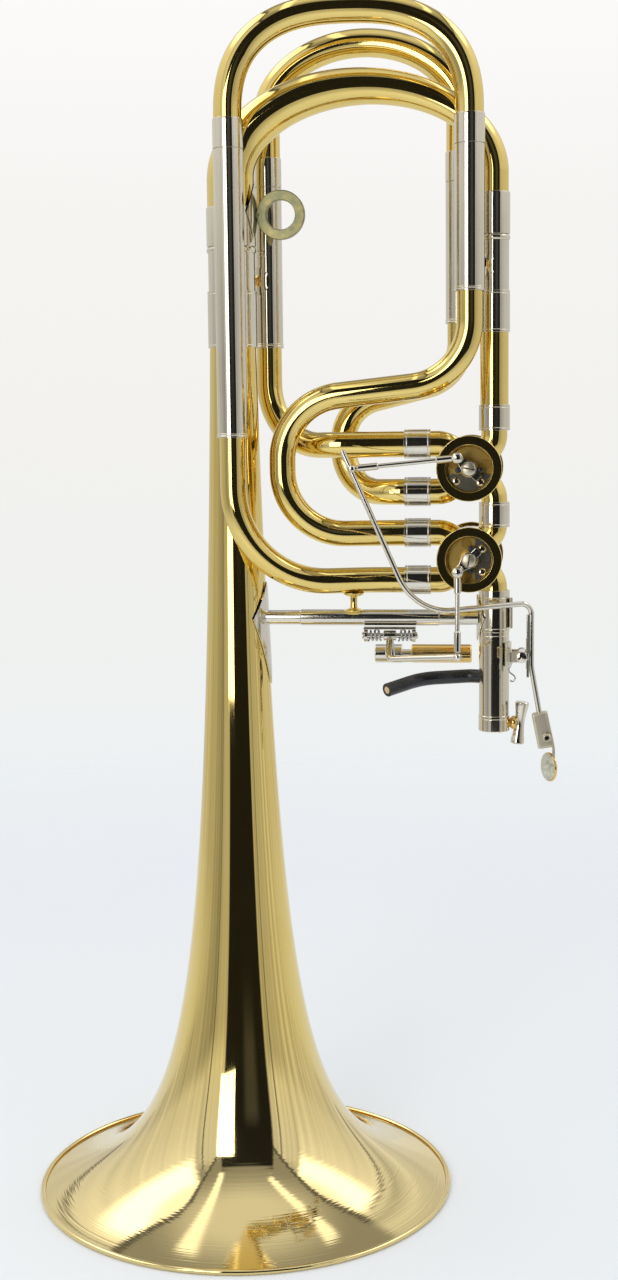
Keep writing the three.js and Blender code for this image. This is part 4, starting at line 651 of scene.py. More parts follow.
def sleeve_profile(base, top, radius=sleeve_radius, bore=7.65):
    """A sleeve with a double ring at its base."""
    return [(bore, base), (radius + 0.3, base), (radius + 0.3, base + 0.9),
            (radius + 0.05, base + 1.15), (radius + 0.05, base + 1.35),
            (radius + 0.25, base + 1.6), (radius + 0.25, base + 2.2), (radius, base + 2.3),
            (radius, top), (bore, top)]


def leg_profile(base, top, cap, leg, drop, bore):
    """A slide leg: the thin inner tube below, the cap above with a fine edge line."""
    return [(leg - 0.4, base - drop), (leg, base - drop), (leg, base), (cap, base),
            (cap, top - 0.8), (cap - 0.25, top), (bore, top), (bore, top - 11),
            (leg - 0.4, top - 11)]


for side, (x, y) in sleeves.items():
    base, top = sleeve_spans[side]
    loop, hand = side.split("_")
    finished(f"{loop}_sleeve_{hand}", "turned", NICKEL, nickel,
             turned(sleeve_profile(base, top), at=(x, y, 0), sides=56, soften=0.12))
    profile = leg_profile(top + 0.3, cap_tops[loop], 8.25, 7.4, 66, 7.85)
    finished(f"{loop}_leg_{hand}", "turned", NICKEL, nickel,
             turned(profile, at=(x, y, 0), sides=56, soften=0.12))
print("sleeves and legs:", sorted(sleeve_spans))

# %% Ferrules of the ports and of the main tubing
def ferrule(outer, bore, low, high, axis="z", at=(0, 0, 0)):
    """A short collar with a fine groove near each end."""
    cut, edge = 0.12, 1.1
    profile = [(bore, low), (outer, low), (outer, low + edge), (outer - cut, low + edge + 0.15),
               (outer - cut, low + edge + 0.35), (outer, low + edge + 0.5),
               (outer, high - edge - 0.5), (outer - cut, high - edge - 0.35),
               (outer - cut, high - edge - 0.15), (outer, high - edge), (outer, high),
               (bore, high)]
    return turned(profile, axis, at, 56, 0.15)


for name, z in ports.items():
    loop, level = name.split("_")
    finished(f"{loop}_ferrule_{level}", "turned", NICKEL, nickel_across,
             ferrule(8.2, 7.3, 95.9, 110.4, "x", (0, 0, z)))
finished("neckpipe", "drawn", BRASS, brass,
         turned([(7.3, 446.0), (7.8, 446.0), (7.8, 503.0), (7.3, 503.0)], at=(neck_x, 0, 0),
                sides=56, soften=0))
finished("neckpipe_ferrule", "turned", NICKEL, nickel,
         ferrule(8.6, 7.85, 438.9, 452.8, at=(neck_x, 0, 0)))
finished("valve_link_ferrule", "turned", NICKEL, nickel,
         ferrule(8.6, 7.3, 385.6, 399.4, at=(neck_x, 0, 0)))
print("ferrules:", sorted(ports))

# %% [markdown]
# ## The main slide's outer tubes
# Each stands in a ferrule, ends in a rounded bead, and carries two posts, one to a sleeve of
# each loop. A post is a small brass spool with a round plate at both ends.

# %% Outer tubes with their posts
def bead_line(radius, low, high, steps=8):
    """A rounded bead between two heights."""
    middle, half = (low + high) / 2, (high - low) / 2
    turns = [math.pi * (k / steps - 0.5) for k in range(steps + 1)]
    return [(radius - 0.9 + 0.9 * math.cos(a), middle + half * math.sin(a)) for a in turns]


def outer_tube(x, ferrule_radius, radius, bead, z_ferrule, z_step, z_bead, z_top, bore):
    """A tube in its grooved ferrule, with the bead at its open end."""
    grooved = [(ferrule_radius, z_ferrule), (ferrule_radius, z_ferrule + 1.2),
               (ferrule_radius - 0.15, z_ferrule + 1.4), (ferrule_radius, z_ferrule + 1.6),
               (ferrule_radius, z_step - 1.6), (ferrule_radius - 0.15, z_step - 1.4),
               (ferrule_radius, z_step - 1.2), (ferrule_radius, z_step)]
    profile = ([(bore, z_ferrule)] + grooved + [(radius, z_step), (radius, z_bead)]
               + bead_line(bead, z_bead, z_top) + [(bore, z_top)])
    return turned(profile, at=(x, 0, 0), sides=72, soften=0.12)


def cross_post(main_x, main_radius, sleeve, z):
    """A waisted post between the main tube and a sleeve, with a round plate at both ends."""
    start, end = Vector((main_x, 0, z)), Vector((*sleeve, z))
    span = (end - start).length
    near, far = main_radius - 0.2, span - sleeve_seat
    middle = (near + far) / 2
    post = turned([(0, near), (3.4, near), (3.4, near + 0.5), (2.1, near + 1.1), (1.9, middle),
                   (2.1, far - 1.1), (3.4, far - 0.5), (3.4, far), (0, far)],
                  sides=32, soften=0.3)
    way = (end - start).normalized()
    plate = wrapped(disc_plate(7.6, 0.55), sleeve, -way, z, sleeve_seat)
    foot = wrapped(disc_plate(6.0, 0.5), (main_x, 0), way, z, main_radius)
    return [coated(aimed(post, start, end), 1), plate, foot]


main_tubes = (("large", 0, 13.05, "left", 524.0,
               (13.75, 13.05, 13.85, 486.3, 517.2, 538.0, 541.3, 12.6)),
              ("small", neck_x, 8.0, "right", 528.0,
               (8.5, 8.0, 8.6, 492.3, 514.7, 541.8, 544.8, 7.55)))
for name, x, radius, hand, post_z, sizes in main_tubes:
    posts = []
    for loop in ("rear", "front"):
        posts += cross_post(x, radius, sleeves[f"{loop}_{hand}"], post_z)
    finished(f"main_outer_{name}", "turned", NICKEL, [nickel, warm_brass],
             outer_tube(x, *sizes), *posts)

main_legs = (("large", 0, 541.6, 563.0, 13.75, 12.35, 13.4),
             ("small", neck_x, 545.1, 567.6, 8.5, 7.3, 8.05))
for name, x, base, top, cap, leg, bore in main_legs:
    profile = leg_profile(base, top, cap, leg, 38, bore)
    finished(f"main_leg_{name}", "turned", NICKEL, nickel,
             turned(profile, at=(x, 0, 0), sides=72, soften=0.12))
print("the main slide has its tubes")

# %% [markdown]
# ## Rotary valves
# A valve is a turned casing with four bent knuckles, one for each way the air can take. Its
# front is a flat ring round a recess, and in the recess stand the half plate with its two
# screws and the bumpers that stop the arm. The casing and the knuckles are made here from the
# same two tools as the tubes.

# %% Screws, for the valves and for all the other joints
def slotted(radius, height, place, towards, slot=0.7, turn=0.6):
    """A low domed screw head with one slot, its floor a thin sheet of painted shade."""
    dome = turned([(0, 0), (radius, 0), (radius, height * 0.45), (radius * 0.75, height * 0.85),
                   (0, height)], sides=40, soften=0.15)
    across = Vector((math.sin(turn), -math.cos(turn), 0))
    for side in (-1, 1):
        bmesh.ops.bisect_plane(dome, geom=all_of(dome), plane_co=across * side * slot / 2,
                               plane_no=across)
    floor_level = height * 0.35
    for vertex in dome.verts:
        inside = abs(vertex.co.dot(across)) < slot / 2 - 1e-4
        if inside and vertex.co.z > floor_level:
            vertex.co.z = floor_level
    # The slot's floor is a thin dark sheet: painted shade in the slot.
    slot_floor_shade = block((2 * radius * 0.93, slot, 0.06), (0, 0, floor_level + 0.03),
                    Matrix.Rotation(turn, 4, "Z"), 0.01)
    start = Vector(place)
    for shape in (dome, slot_floor_shade):
        aimed(shape, start, start + Vector(towards))
    return [dome, coated(slot_floor_shade, 1)]


def cross_head(radius, height, place, towards, turn=0.4):
    """A domed screw head with a cross of painted shade in it: two dark bars stand for its recess.
    """
    dome = turned([(0, 0), (radius, 0), (radius, height * 0.3), (radius * 0.7, height * 0.8),
                   (0, height)], sides=36, soften=0.15)
    arms = []
    # The two bars are painted shade in the cross recess.
    for quarter in (0, math.pi / 2):
        arms.append(coated(block((radius * 1.15, radius * 0.26, 0.2), (0, 0, height * 0.93),
                                 Matrix.Rotation(turn + quarter, 4, "Z"), 0.05), 1))
    start = Vector(place)
    return [aimed(shape, start, start + Vector(towards)) for shape in [dome] + arms]


# Near-black nickel is painted shade: the dark floors of screw slots and cross recesses, the
# clamp's slit, and the gap at the hand rest's end.
painted_slot_shade = nickel_finish("painted_slot_shade", (0.035, 0.03, 0.025, 1), (0.02, 0.02, 0.018, 1), 0.45,
                          (1, 1, 1))
screwed_nickel = [nickel_across, painted_slot_shade]
print("screws can be cut")

# %% Casing, knuckles and half plate
valve_x, port_offset, knuckle_root, knuckle_bend = 132.4, 13.2, 6.6, 11.5
valve_heights = {"upper": 418.6, "lower": 369.3}
valve_front, recess_floor, casing_rear, recess_radius = -31.0, -24.5, 22.5, 12.7
front_way = (0, -1, 0)
casing_finishes = [brass, nickel, painted_slot_shade, cast_brass, dull_steel, shaded_brass]
CAST, DULL, SHADED = 3, 4, 5


def knuckle(side, level, centre_z, stop):
    """A short tube that bends from the casing towards a port."""
    corner = (valve_x + side * port_offset, 0, centre_z + level * port_offset)
    start = (valve_x + side * knuckle_root, 0, centre_z + level * knuckle_root)
    stop_at = (stop, 0, corner[2]) if side < 0 else (corner[0], 0, stop)
    return drawn(bent_route([start, (*corner, knuckle_bend), stop_at]), loop_radius, 40)


def casing_shape(centre_z):
    """The casing: a drum with a raised rim, and in its front a recess of rougher metal."""
    profile = [(0, recess_floor), (11.6, recess_floor), (11.9, recess_floor + 0.8),
               (recess_radius, recess_floor + 0.8), (recess_radius, valve_front + 0.25),
               (12.95, valve_front), (17.45, valve_front), (17.7, valve_front + 0.25),
               (17.7, valve_front + 3.6), (17.0, valve_front + 4.2), (16.9, valve_front + 5.2),
               (16.9, casing_rear), (0, casing_rear)]
    casing = turned(profile, "y", (valve_x, 0, centre_z), 96, 0.08)
    for face in casing.faces:
        middle = face.calc_center_median()
        reach = math.hypot(middle.x - valve_x, middle.z - centre_z)
        if reach < recess_radius - 0.01 and middle.y > valve_front + 0.4:
            face.material_index = CAST
    return casing


def half_plate(centre_z, cut_turn):
    """The plate that carries the bumpers: a disc cut straight across, with rounded edges."""
    plate = turned([(0, -1.4), (12.3, -1.4), (12.3, 0.1), (0, 0.1)], sides=72, soften=0.18)
    away = Vector((math.sin(cut_turn), math.cos(cut_turn), 0))
    open_edge = bmesh.ops.bisect_plane(plate, geom=all_of(plate), plane_co=away * -3.1,
                                       plane_no=away, clear_outer=True)["geom_cut"]
    rim = [e for e in open_edge if isinstance(e, bmesh.types.BMEdge)]
    bmesh.ops.edgeloop_fill(plate, edges=rim)
    turn = Matrix.Rotation(math.pi / 2, 4, "X")
    lie = Matrix.Translation((valve_x, recess_floor - 0.15, centre_z)) @ turn
    bmesh.ops.transform(plate, matrix=Matrix.Diagonal((1, 1, -1, 1)), verts=plate.verts)
    return settled(plate, lie)


plate_pit_shades = {"upper": ((-8.6, 2.6), (9.2, 2.4)), "lower": ((-1.5, 8.9), (-1.5, -9.0))}
knuckle_stops = {"upper": (445.7, 392.65), "lower": (392.35, 345.6)}
plate_cuts = {"upper": 0.0, "lower": -math.pi / 2}
plate_screws = {"upper": ((-7.2, -7.0), (6.0, -7.6)), "lower": ((7.0, 5.7), (7.0, -7.0))}
for name, centre_z in valve_heights.items():
    shapes = [casing_shape(centre_z)]
    shapes.append(coated(turned([(0, -2.2), (4.6, -2.2), (5.0, -1.8), (5.2, 0.1), (0, 0.1)], "y",
                                (valve_x, recess_floor, centre_z), 48, 0.2), CAST))
    shapes.append(coated(half_plate(centre_z, plate_cuts[name]), DULL))
    for side, stops in ((-1, [loop_end_x + 0.3] * 2), (1, knuckle_stops[name])):
        for level, stop in zip((1, -1), stops):
            shapes.append(knuckle(side, level, centre_z, stop))
    # Screw domes take nickel, and their cross bars take painted shade.
    for right, up in plate_screws[name]:
        place = (valve_x + right, recess_floor - 1.5, centre_z + up)
        for index, shape in enumerate(cross_head(2.3, 1.1, place, front_way, turn=right)):
            shapes.append(coated(shape, min(index, 1) + 1))
    # Thin discs of dark brass on the recess floor are painted shade for two round hollows in it.
    for right, up in plate_pit_shades[name]:
        place = (valve_x + right, 0, centre_z + up)
        pit_shade = rod(2.9, recess_floor - 0.12, recess_floor, "y", place, 36, 0.05)
        shapes.append(coated(pit_shade, SHADED))
    finished(f"{name}_valve_casing", "made", BRASS, casing_finishes, *shapes)
print("valve casings at heights", valve_heights)

# %% Rear caps and bumpers
def knurled_cap(centre_z, teeth=60):
    """The screwed cap at the back: coin edge, a step, and a low dome with a ring."""
    cap = turned([(17.2, 18.3), (18.0, 18.3), (18.1, 19.2), (18.1, 24.9), (17.6, 25.9),
                  (15.6, 26.2), (15.2, 26.6), (8.4, 26.75), (7.9, 26.3), (7.2, 26.3),
                  (6.8, 26.75), (0, 26.75), (0, 22.9), (17.2, 22.9)], "y", sides=2 * teeth,
                 soften=0.15)
    for vertex in cap.verts:
        radius = math.hypot(vertex.co.x, vertex.co.z)
        if radius > 17.95 and 19.4 < vertex.co.y < 24.7:
            grow = 0.3 * math.cos(teeth * math.atan2(vertex.co.z, vertex.co.x))
            vertex.co.x *= 1 + grow * 0.01
            vertex.co.z *= 1 + grow * 0.01
    return settled(cap, Matrix.Translation((valve_x, 0, centre_z)))


for name, centre_z in valve_heights.items():
    finished(f"{name}_valve_rear_cap", "turned", BRASS, brass, knurled_cap(centre_z))
    for letter in "ab":
        node = f"{name}_valve_bumper_{letter}"
        low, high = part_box(node)
        middle = (low + high) / 2
        place = ((middle.x - axis_x) / MM, high.y / MM, middle.z / MM)
        length = (high.y - low.y) / MM
        finished(node, "turned", "black_rubber", rubber,
                 turned([(0, 0), (1.6, 0), (1.6, -length + 1.4), (1.45, -length + 0.5),
                         (0, -length)], "y", place, 28, 0.25))
print("caps and bumpers are on")

# %% [markdown]
# ## Rotors, stop arms and ball links
# The rotor's shaft comes through the casing, and a split clamp grips it: one end of the clamp
# runs out to the ball of the link, and the tail between the two bumpers limits the turn to a
# quarter. The rotors and their rear bearings are hidden, so their solids stay and only get a
# finish.

# %% Stop arms
def stop_arm(centre_z, arm_angle):
    """The arm with the clamp's slit and cheek in painted shade, the hub with its screw, and the
    link's pin.
    """
    back, front = -29.2, -33.4
    turn = Matrix.Translation((valve_x, 0, centre_z)) @ Matrix.Rotation(-arm_angle, 4, "Y")
    outline = [(-7.6, -2.2), (-1.6, -2.2), (0, -4.3), (1.6, -4.0), (5.4, -2.3), (8.4, -2.55),
               (10.2, -1.8), (10.95, 0), (10.2, 1.8), (8.4, 2.55), (5.4, 2.3), (1.6, 4.0),
               (0, 4.3), (-1.6, 2.2), (-7.6, 2.2)]
    lever = bmesh.new()
    corners = [lever.verts.new((x, back, z)) for x, z in outline]
    rounded(lever, [lever.faces.new(corners)] + lever.verts[:], 0.6, "VERTICES", clamp=False)
    pushed = bmesh.ops.extrude_face_region(lever, geom=lever.faces[:])["geom"]
    top = [v for v in pushed if isinstance(v, bmesh.types.BMVert)]
    bmesh.ops.translate(lever, vec=(0, front - back, 0), verts=top)
    bmesh.ops.recalc_face_normals(lever, faces=lever.faces)
    edge = [e for e in lever.edges if e.calc_face_angle(0) > 1 and all(v in top for v in e.verts)]
    rounded(lever, edge, 0.3, "EDGES", 2, clamp=False)
    # The slit and the cheek are thin dark blocks: painted shade in the clamp's gap and along its
    # step.
    slit = coated(block((6.0, 0.3, 0.55), (-4.7, front - 0.02, 0), soften=0.05), 1)
    cheek = coated(block((0.35, 0.3, 4.2), (-3.6, front - 0.02, 0), soften=0.05), 1)
    hub = turned([(0, -29.4), (4.2, -29.4), (4.2, -34.9), (0, -34.9)], "y", sides=56,
                 soften=0.15)
    pin = rod(2.2, -36.6, -29.2, "y", (8.4, 0, 0), 36)
    dome, slot_floor_shade = slotted(3.7, 1.2, (0, -34.7, 0), front_way, 0.8)
    shapes = [lever, slit, cheek, hub, pin, coated(dome, 2), slot_floor_shade]
    return [settled(shape, turn) for shape in shapes]


for name, degrees in (("upper", 135), ("lower", 225)):
    finished(f"{name}_stop_arm", "made", NICKEL, screwed_nickel + [satin_nickel],
             *stop_arm(valve_heights[name], math.radians(degrees)))
print("stop arms turn with their rotors")

# %% Links with their ball ends
thumb_ball, finger_ball = (70.2, -42, 419.3), (126.3, -40, 317.4)


def link(start, end, gap=2.6):
    """A rod with two sleeves, from a lever's ball to the socket on the stop arm's ball."""
    start, end = Vector(start), Vector(end)
    span = (end - start).length
    line = [(0, gap), (1.5, gap), (1.9, gap + 0.5), (1.9, gap + 11.0), (1.25, gap + 11.6),
            (1.25, span - 11.6), (1.9, span - 11.0), (1.9, span - 3.2), (1.4, span - 2.6),
            (0, span - 2.6)]
    shank = aimed(turned(line, sides=36, soften=0.12), start, end)
    socket = turned([(0, 3.0), (2.1, 3.0), (3.0, 2.1), (3.0, -1.6), (2.5, -2.4), (0, -2.4)], "y",
                    end, 40, 0.3)
    return [shank, socket] + cross_head(2.2, 0.8, end - Vector((0, 2.4, 0)), front_way)


for name, lever_ball, arm_ball in (("upper", thumb_ball, (126.46, -40, 424.54)),
                                   ("lower", finger_ball, (126.46, -40, 363.36))):
    finished(f"{name}_link", "made", NICKEL, screwed_nickel, *link(lever_ball, arm_ball))
for name in valve_heights:
    for part, finish in (("rotor", warm_brass), ("rear_bearing", nickel_across)):
        solid = frame["nodes"][f"{name}_valve_{part}"]
        solid.data.materials.clear()
        solid.data.materials.append(finish)
print("links reach the arms")

# %% [markdown]
# ## Receiver, clamp screw and brace
# The hand slide is screwed into the receiver, a plain nickel tube with a collar at its mouth.
# Fine turned rings show on it as dark hair lines, so its profile gets grooves. The brace is a
# rod with a kite-shaped plate at each end, and a short brass post on it holds the tube above.

# %% Receiver
clamp_z, seat_radius = 275.3, 8.75


def ring_lines(radius, heights, cut=0.16, half=0.22):
    """Fine grooves in a profile, one at each height."""
    line = []
    for z in heights:
        line += [(radius, z - half), (radius - cut, z), (radius, z + half)]
    return line


receiver_line = ([(7.0, 271.3), (7.4, 270.9), (8.5, 270.9), (seat_radius, 271.2)]
                 + ring_lines(seat_radius, [277.9]) + [(seat_radius, 279.5), (8.45, 279.75)]
                 + ring_lines(8.45, [324.9]) + [(8.45, 327), (8.7, 327.2)]
                 + ring_lines(8.7, [328.9, 346.3]) + [(8.7, 350.3), (7.6, 350.3), (7.6, 345.3),
                                                      (7.4, 345.3), (7.0, 340.0)])
clamp_post = coated(turned([(0, 148.5), (6.4, 148.5), (5.2, 150.5), (3.4, 152.5), (2.4, 154.4),
                            (0, 154.4)], "x", (0, 0, clamp_z), 40, 0.3), 1)
clamp_ball = coated(ball(3.9, (156.6, 0, clamp_z), (0.7, 1, 1)), 1)
tab = coated(block((1.6, 5.0, 17.0), (155.1, -3.0, 337.7), soften=0.4), 2)
receiver_tube = turned(receiver_line, at=(neck_x, 0, 0), sides=72, soften=0.1)
finished("slide_receiver", "turned", NICKEL, [nickel, warm_brass, satin_nickel],
         receiver_tube, clamp_post, clamp_ball, tab)

clamp_line = [(0, -12), (3.4, -12), (3.9, -11.5), (3.8, -9.5), (3.2, -6), (2.8, -2.5), (2.7, 0),
              (2.8, 2.5), (3.2, 6), (3.8, 9.5), (3.9, 11.5), (3.4, 12), (0, 12)]
clamp_bar = turned(clamp_line, sides=48, soften=0.2)
clamp_place = Matrix.Translation((160, 0, clamp_z)) @ Matrix.Rotation(math.radians(7), 4, "Y")
finished("clamp_screw", "turned", NICKEL, nickel_across,
         settled(clamp_bar, clamp_place), rod(1.5, 156.6, 160, "x", (0, 0, clamp_z)))
print("receiver:", len(receiver_line), "profile points")

# %% Brace with its kites and the brass post
brace_y, brace_z, post_y = -2.0, 335.0, -2.9
brace_line = [(0, 14.6), (4.1, 14.6), (4.1, 36.6), (4.25, 36.9), (4.55, 37.0), (4.55, 114.9),
              (4.25, 115.0), (4.1, 115.3), (4.1, 136.8), (0, 136.8)]
bell_kite = wrapped(kite_plate(20.3, 37.7, 13.5, 0.9), (0, 0), (1, -0.12), brace_z,
                    lambda z: bell_radius(z - wire_radius) + 0.3)
receiver_kite = wrapped(kite_plate(13, 13, 7, 0.9), (neck_x, 0), (-1, -0.2), brace_z, 9.0)
post_line = [(0, 337.5), (5.4, 338.6), (5.5, 339.3), (4.2, 339.9), (2.1, 340.6), (1.9, 343.5),
             (2.1, 346.6), (4.4, 347.4), (5.8, 348.2), (5.9, 349.2), (0, 350.4)]
finished("main_brace", "made", NICKEL, [nickel_across, brass],
         turned(brace_line, "x", (0, brace_y, brace_z), 48, 0.15), bell_kite, receiver_kite,
         coated(turned(post_line, at=(67, post_y, 0), sides=44, soften=0.2), 1))
print("brace reaches from the bell to the receiver")

# %% [markdown]
# ## Hand rest
# A bent rod with a black rubber sleeve. The sleeve is a thick tube with a soft gloss, and at
# its end the core shows as a pale disc, ringed by painted shade.

# %% Rod and rubber sleeve
rest_z, rod_radius, rubber_radius, bare_length = 299.5, 2.2, 3.9, 5
rest_corners = [(neck_x, 9, rest_z), (133, 16, rest_z, 12), (104, 15, 297.83, 24),
                (85.5, -2, 293.6)]
rest_plate = wrapped(disc_plate(5, 0.6), (neck_x, 0), (0, 1), rest_z, seat_radius)
finished("handrest_rod", "bent", "bare_rod", [cork, nickel],
         drawn(bent_route(rest_corners), rod_radius, 28), coated(rest_plate, 1))
sleeve_start = (Vector((neck_x, 9, rest_z))
                + Vector((133 - neck_x, 7, 0)).normalized() * bare_length)
rubber_route = bent_route([tuple(sleeve_start)] + rest_corners[1:])
end_place, end_way = rubber_route[-1]
# A dark disc behind the pale core: painted shade in the gap round the core.
core_gap_shade = coated(rod(2.35, 0, 0.12, sides=36, soften=0), 1)
core_face = coated(turned([(0, 0.1), (2.05, 0.1), (2.15, 0.28), (0, 0.34)], sides=36,
                          soften=0.05), 2)
collar = turned([(2.5, -0.5), (3.9, -0.5), (3.9, 0.05), (3.6, 0.42), (2.8, 0.46), (2.5, 0.2)],
                sides=48, soften=0.12)
ends = [aimed(shape, end_place, end_place + end_way) for shape in (core_gap_shade, core_face, collar)]
finished("handrest_sleeve", "bent", "black_rubber", [rubber, painted_slot_shade, cork],
         drawn(rubber_route, rubber_radius, 40), *ends)
print("hand rest bends through", len(rubber_route), "stations")

# %% [markdown]
# ## Thumb lever
# A long rod, filed flat where its hinge strip is soldered on, tips about a screw in a curled
# saddle on the receiver. Below, a block with a set screw holds the paddle, so the player can
# move it along the rod.

# %% Lever rod, strip and hub
thumb_tip = (65.5, -42, 427.8)
hinge_x, hinge_y, hinge_z = 161, -12.5, 314.8
thumb_route = bent_route([thumb_tip, (103.6, -39.5, 341, 30), (166.2, -14, 344.3, 6),
                          (166.2, -14, 309, 30), (171, -13, 281.5)])
hinge_strip = block((1.5, 7, 35), (164.3, hinge_y, 320.5), soften=0.5)
hub = turned([(1.9, -17), (3.1, -17), (3.1, -8), (1.9, -8)], "y", (hinge_x, 0, hinge_z), 40, 0.2)
web = block((3.4, 8.4, 3.6), (163.0, hinge_y, hinge_z), soften=0.4)
finished("thumb_lever", "bent", NICKEL, screwed_nickel,
         drawn(thumb_route, 1.5, 28), ball(2.3, thumb_ball), ball(1.6, thumb_tip),
         hinge_strip, hub, web, *cross_head(1.5, 0.6, (70.2, -44.2, 419.3), front_way))
print("thumb lever:", len(thumb_route), "stations")

# %% Block, curved strip, set screw and paddle
tilt, paddle_turn = math.radians(11), math.radians(28)
block_at = Vector((172.555, -13, 273.5))
thumb_block = block((8.6, 8, 20), block_at, Matrix.Rotation(-tilt, 4, "Y"), 1.3)
screw_at = block_at + Vector((2.4, 0, -3.5))
screw_end = screw_at + Vector(front_way)
screw = turned([(0, 0), (2.4, 0), (2.4, 6.2), (2.0, 7.0), (1.25, 7.0), (1.25, 5.0), (0, 5.0)],
               sides=40, soften=0.15)
# A dark hexagon in the set screw's head: painted shade in its socket.
pit_shade = coated(aimed(rod(1.2, 4.9, 5.1, sides=6, soften=0), screw_at, screw_end), 1)
strip_route = bent_route([(174.36, -13, 283.5), (178.76, -13, 263.5, 20), (178.6, -13, 246.9)])
strip_section = [(-0.75, -3.9), (-0.4, -4.25), (0.4, -4.25), (0.75, -3.9), (0.75, 3.9),
                 (0.4, 4.25), (-0.4, 4.25), (-0.75, 3.9)]
finished("thumb_block", "made", NICKEL, [satin_nickel, painted_slot_shade], thumb_block,
         aimed(screw, screw_at, screw_end), pit_shade, drawn(strip_route, 1.0, section=strip_section))

pearl_face = turned([(0, -1.3), (6.6, -1.2), (7.7, -0.8), (7.9, 0), (0, 0)], "x", sides=56,
                    soften=0.15)
brass_back = turned([(0, -0.05), (8.0, -0.5), (8.2, -0.1), (8.2, 0.8), (7.4, 1.3), (0, 1.3)],
                    "x", sides=56, soften=0.15)
paddle_place = Matrix.Translation((176, -13, 252.6)) @ Matrix.Rotation(paddle_turn, 4, "Z")
finished("thumb_paddle", "made", "pearl_disc", [pearl, warm_brass],
         settled(pearl_face, paddle_place), settled(coated(brass_back, 1), paddle_place))
print("the paddle is turned", round(math.degrees(paddle_turn)), "degrees")

# %% Saddle, pivot screw and hooked spring
saddle_flat = bmesh.new()
lie = Matrix.Rotation(math.pi / 2, 4, "X") @ Matrix.Diagonal((7.9, 6.5, 1, 1))
bmesh.ops.create_grid(saddle_flat, x_segments=28, y_segments=12, size=1, matrix=lie)
saddle_plate = wrapped(thickened(saddle_flat, 1.0), (neck_x, 0), (1, 0), hinge_z, seat_radius)
lugs = []
for y in (-18.15, -6.85):
    lugs.append(coated(block((9.0, 1.7, 6.0), (156.6, y, hinge_z), soften=0.4), 1))
    lugs.append(turned([(1.9, y - 0.85), (3.1, y - 0.85), (3.1, y + 0.85), (1.9, y + 0.85)], "y",
                       (hinge_x, 0, hinge_z), 40, 0.2))
bridge = coated(block((1.2, 13.0, 6.2), (155.0, hinge_y, hinge_z), soften=0.4), 1)
finished("thumb_hinge_saddle", "made", NICKEL, [nickel, satin_nickel],
         saddle_plate, bridge, *lugs)
pivot = turned([(0, -20.4), (3.1, -20.4), (3.1, -19.3), (1.6, -19.2), (1.6, -6.0), (0, -6.0)],
               "y", (hinge_x, 0, hinge_z), 44, 0.2)
finished("thumb_pivot_screw", "made", SPRING, screwed_nickel,
         pivot, *slotted(3.1, 0.9, (hinge_x, -20.3, hinge_z), front_way, 0.6))


def coil(radius, turns, length, lead, trail, steps=24):
    """Stations of a spring about Z, with a straight end before and after its turns."""
    places = [Vector(lead)]
    for k in range(turns * steps + 1):
        angle = 2 * math.pi * k / steps
        along = length * (k / (turns * steps) - 0.5)
        places.append(Vector((radius * math.cos(angle), radius * math.sin(angle), along)))
    places.append(Vector(trail))
    return places


def facing_along(places):
    """Stations through the places, each facing along the line there."""
    ways = [(after - before).normalized() for before, after
            in zip(places[:1] + places[:-1], places[1:] + places[-1:])]
    return list(zip(places, ways))


def wire(places, radius, axis, at):
    """A wire through the places, its own Z turned to the axis."""
    turns = {"x": Matrix.Rotation(math.pi / 2, 4, "Y"), "y": Matrix.Rotation(math.pi / 2, 4, "X")}
    return settled(drawn(facing_along(places), radius, 14), Matrix.Translation(at) @ turns[axis])


hook_line = ((155.6, 311.0), (154.6, 309.2), (153.8, 307.2), (154.2, 305.8), (155.5, 304.8),
             (156.9, 303.8), (157.4, 302.4), (156.8, 301.0), (155.6, 300.5), (154.7, 301.3))
thumb_coil = coil(2.8, 3, 4.65, (2.8, -9, -2.325), (2.8, 9, 2.325))
finished("thumb_spring", "wound", SPRING, steel,
         wire(thumb_coil, 0.5, "y", (hinge_x, -2.875, hinge_z)),
         drawn(facing_along([Vector((x, -14, z)) for x, z in hook_line]), 0.45, 12))
print("saddle, screw and spring are in place")

# %% [markdown]
# ## Finger lever
# The lower valve has a lever of its own, hung in a small bracket under the brace, with a coil
# spring on each side of its hub. A roller-like brass grip stands at its rear end.

# %% Bracket and its coil springs
finger_y, finger_z = -6.0, 325.2
hung = [block((29.4, 8, 1.2), (87.5, finger_y, 329.5), soften=0.35),
        rod(1.4, 74, 101, "x", (0, finger_y, finger_z))]
for x, nut_x in ((74, 71.8), (101, 101.9)):
    hung.append(turned([(0, -1), (3.6, -1), (3.6, 1), (0, 1)], "x", (x, finger_y, finger_z), 44,
                       0.3))
    hung.append(block((2, 3.6, 4.2), (x, finger_y, 327.6), soften=0.3))
    hung.append(turned([(0, 0), (1.9, 0), (1.9, 0.8), (1.2, 1.3), (0, 1.3)], "x",
                       (nut_x, finger_y, finger_z), 30, 0.15))
for x in (80, 95):
    hung += cross_head(1.5, 0.7, (x, finger_y, 328.9), (0, 0, -1))
finished("finger_hinge_bracket", "made", NICKEL, screwed_nickel, *hung)
for side, x in (("left", 79.0), ("right", 96.0)):
    spring = coil(2.7, 3, 6.8, (2.7, -2, -3.4), (2.7, 2, 3.4))
    finished(f"finger_spring_{side}", "wound", SPRING, steel,
             wire(spring, 0.55, "x", (x, finger_y, finger_z)))
print("the bracket is joined from", len(hung), "shapes")

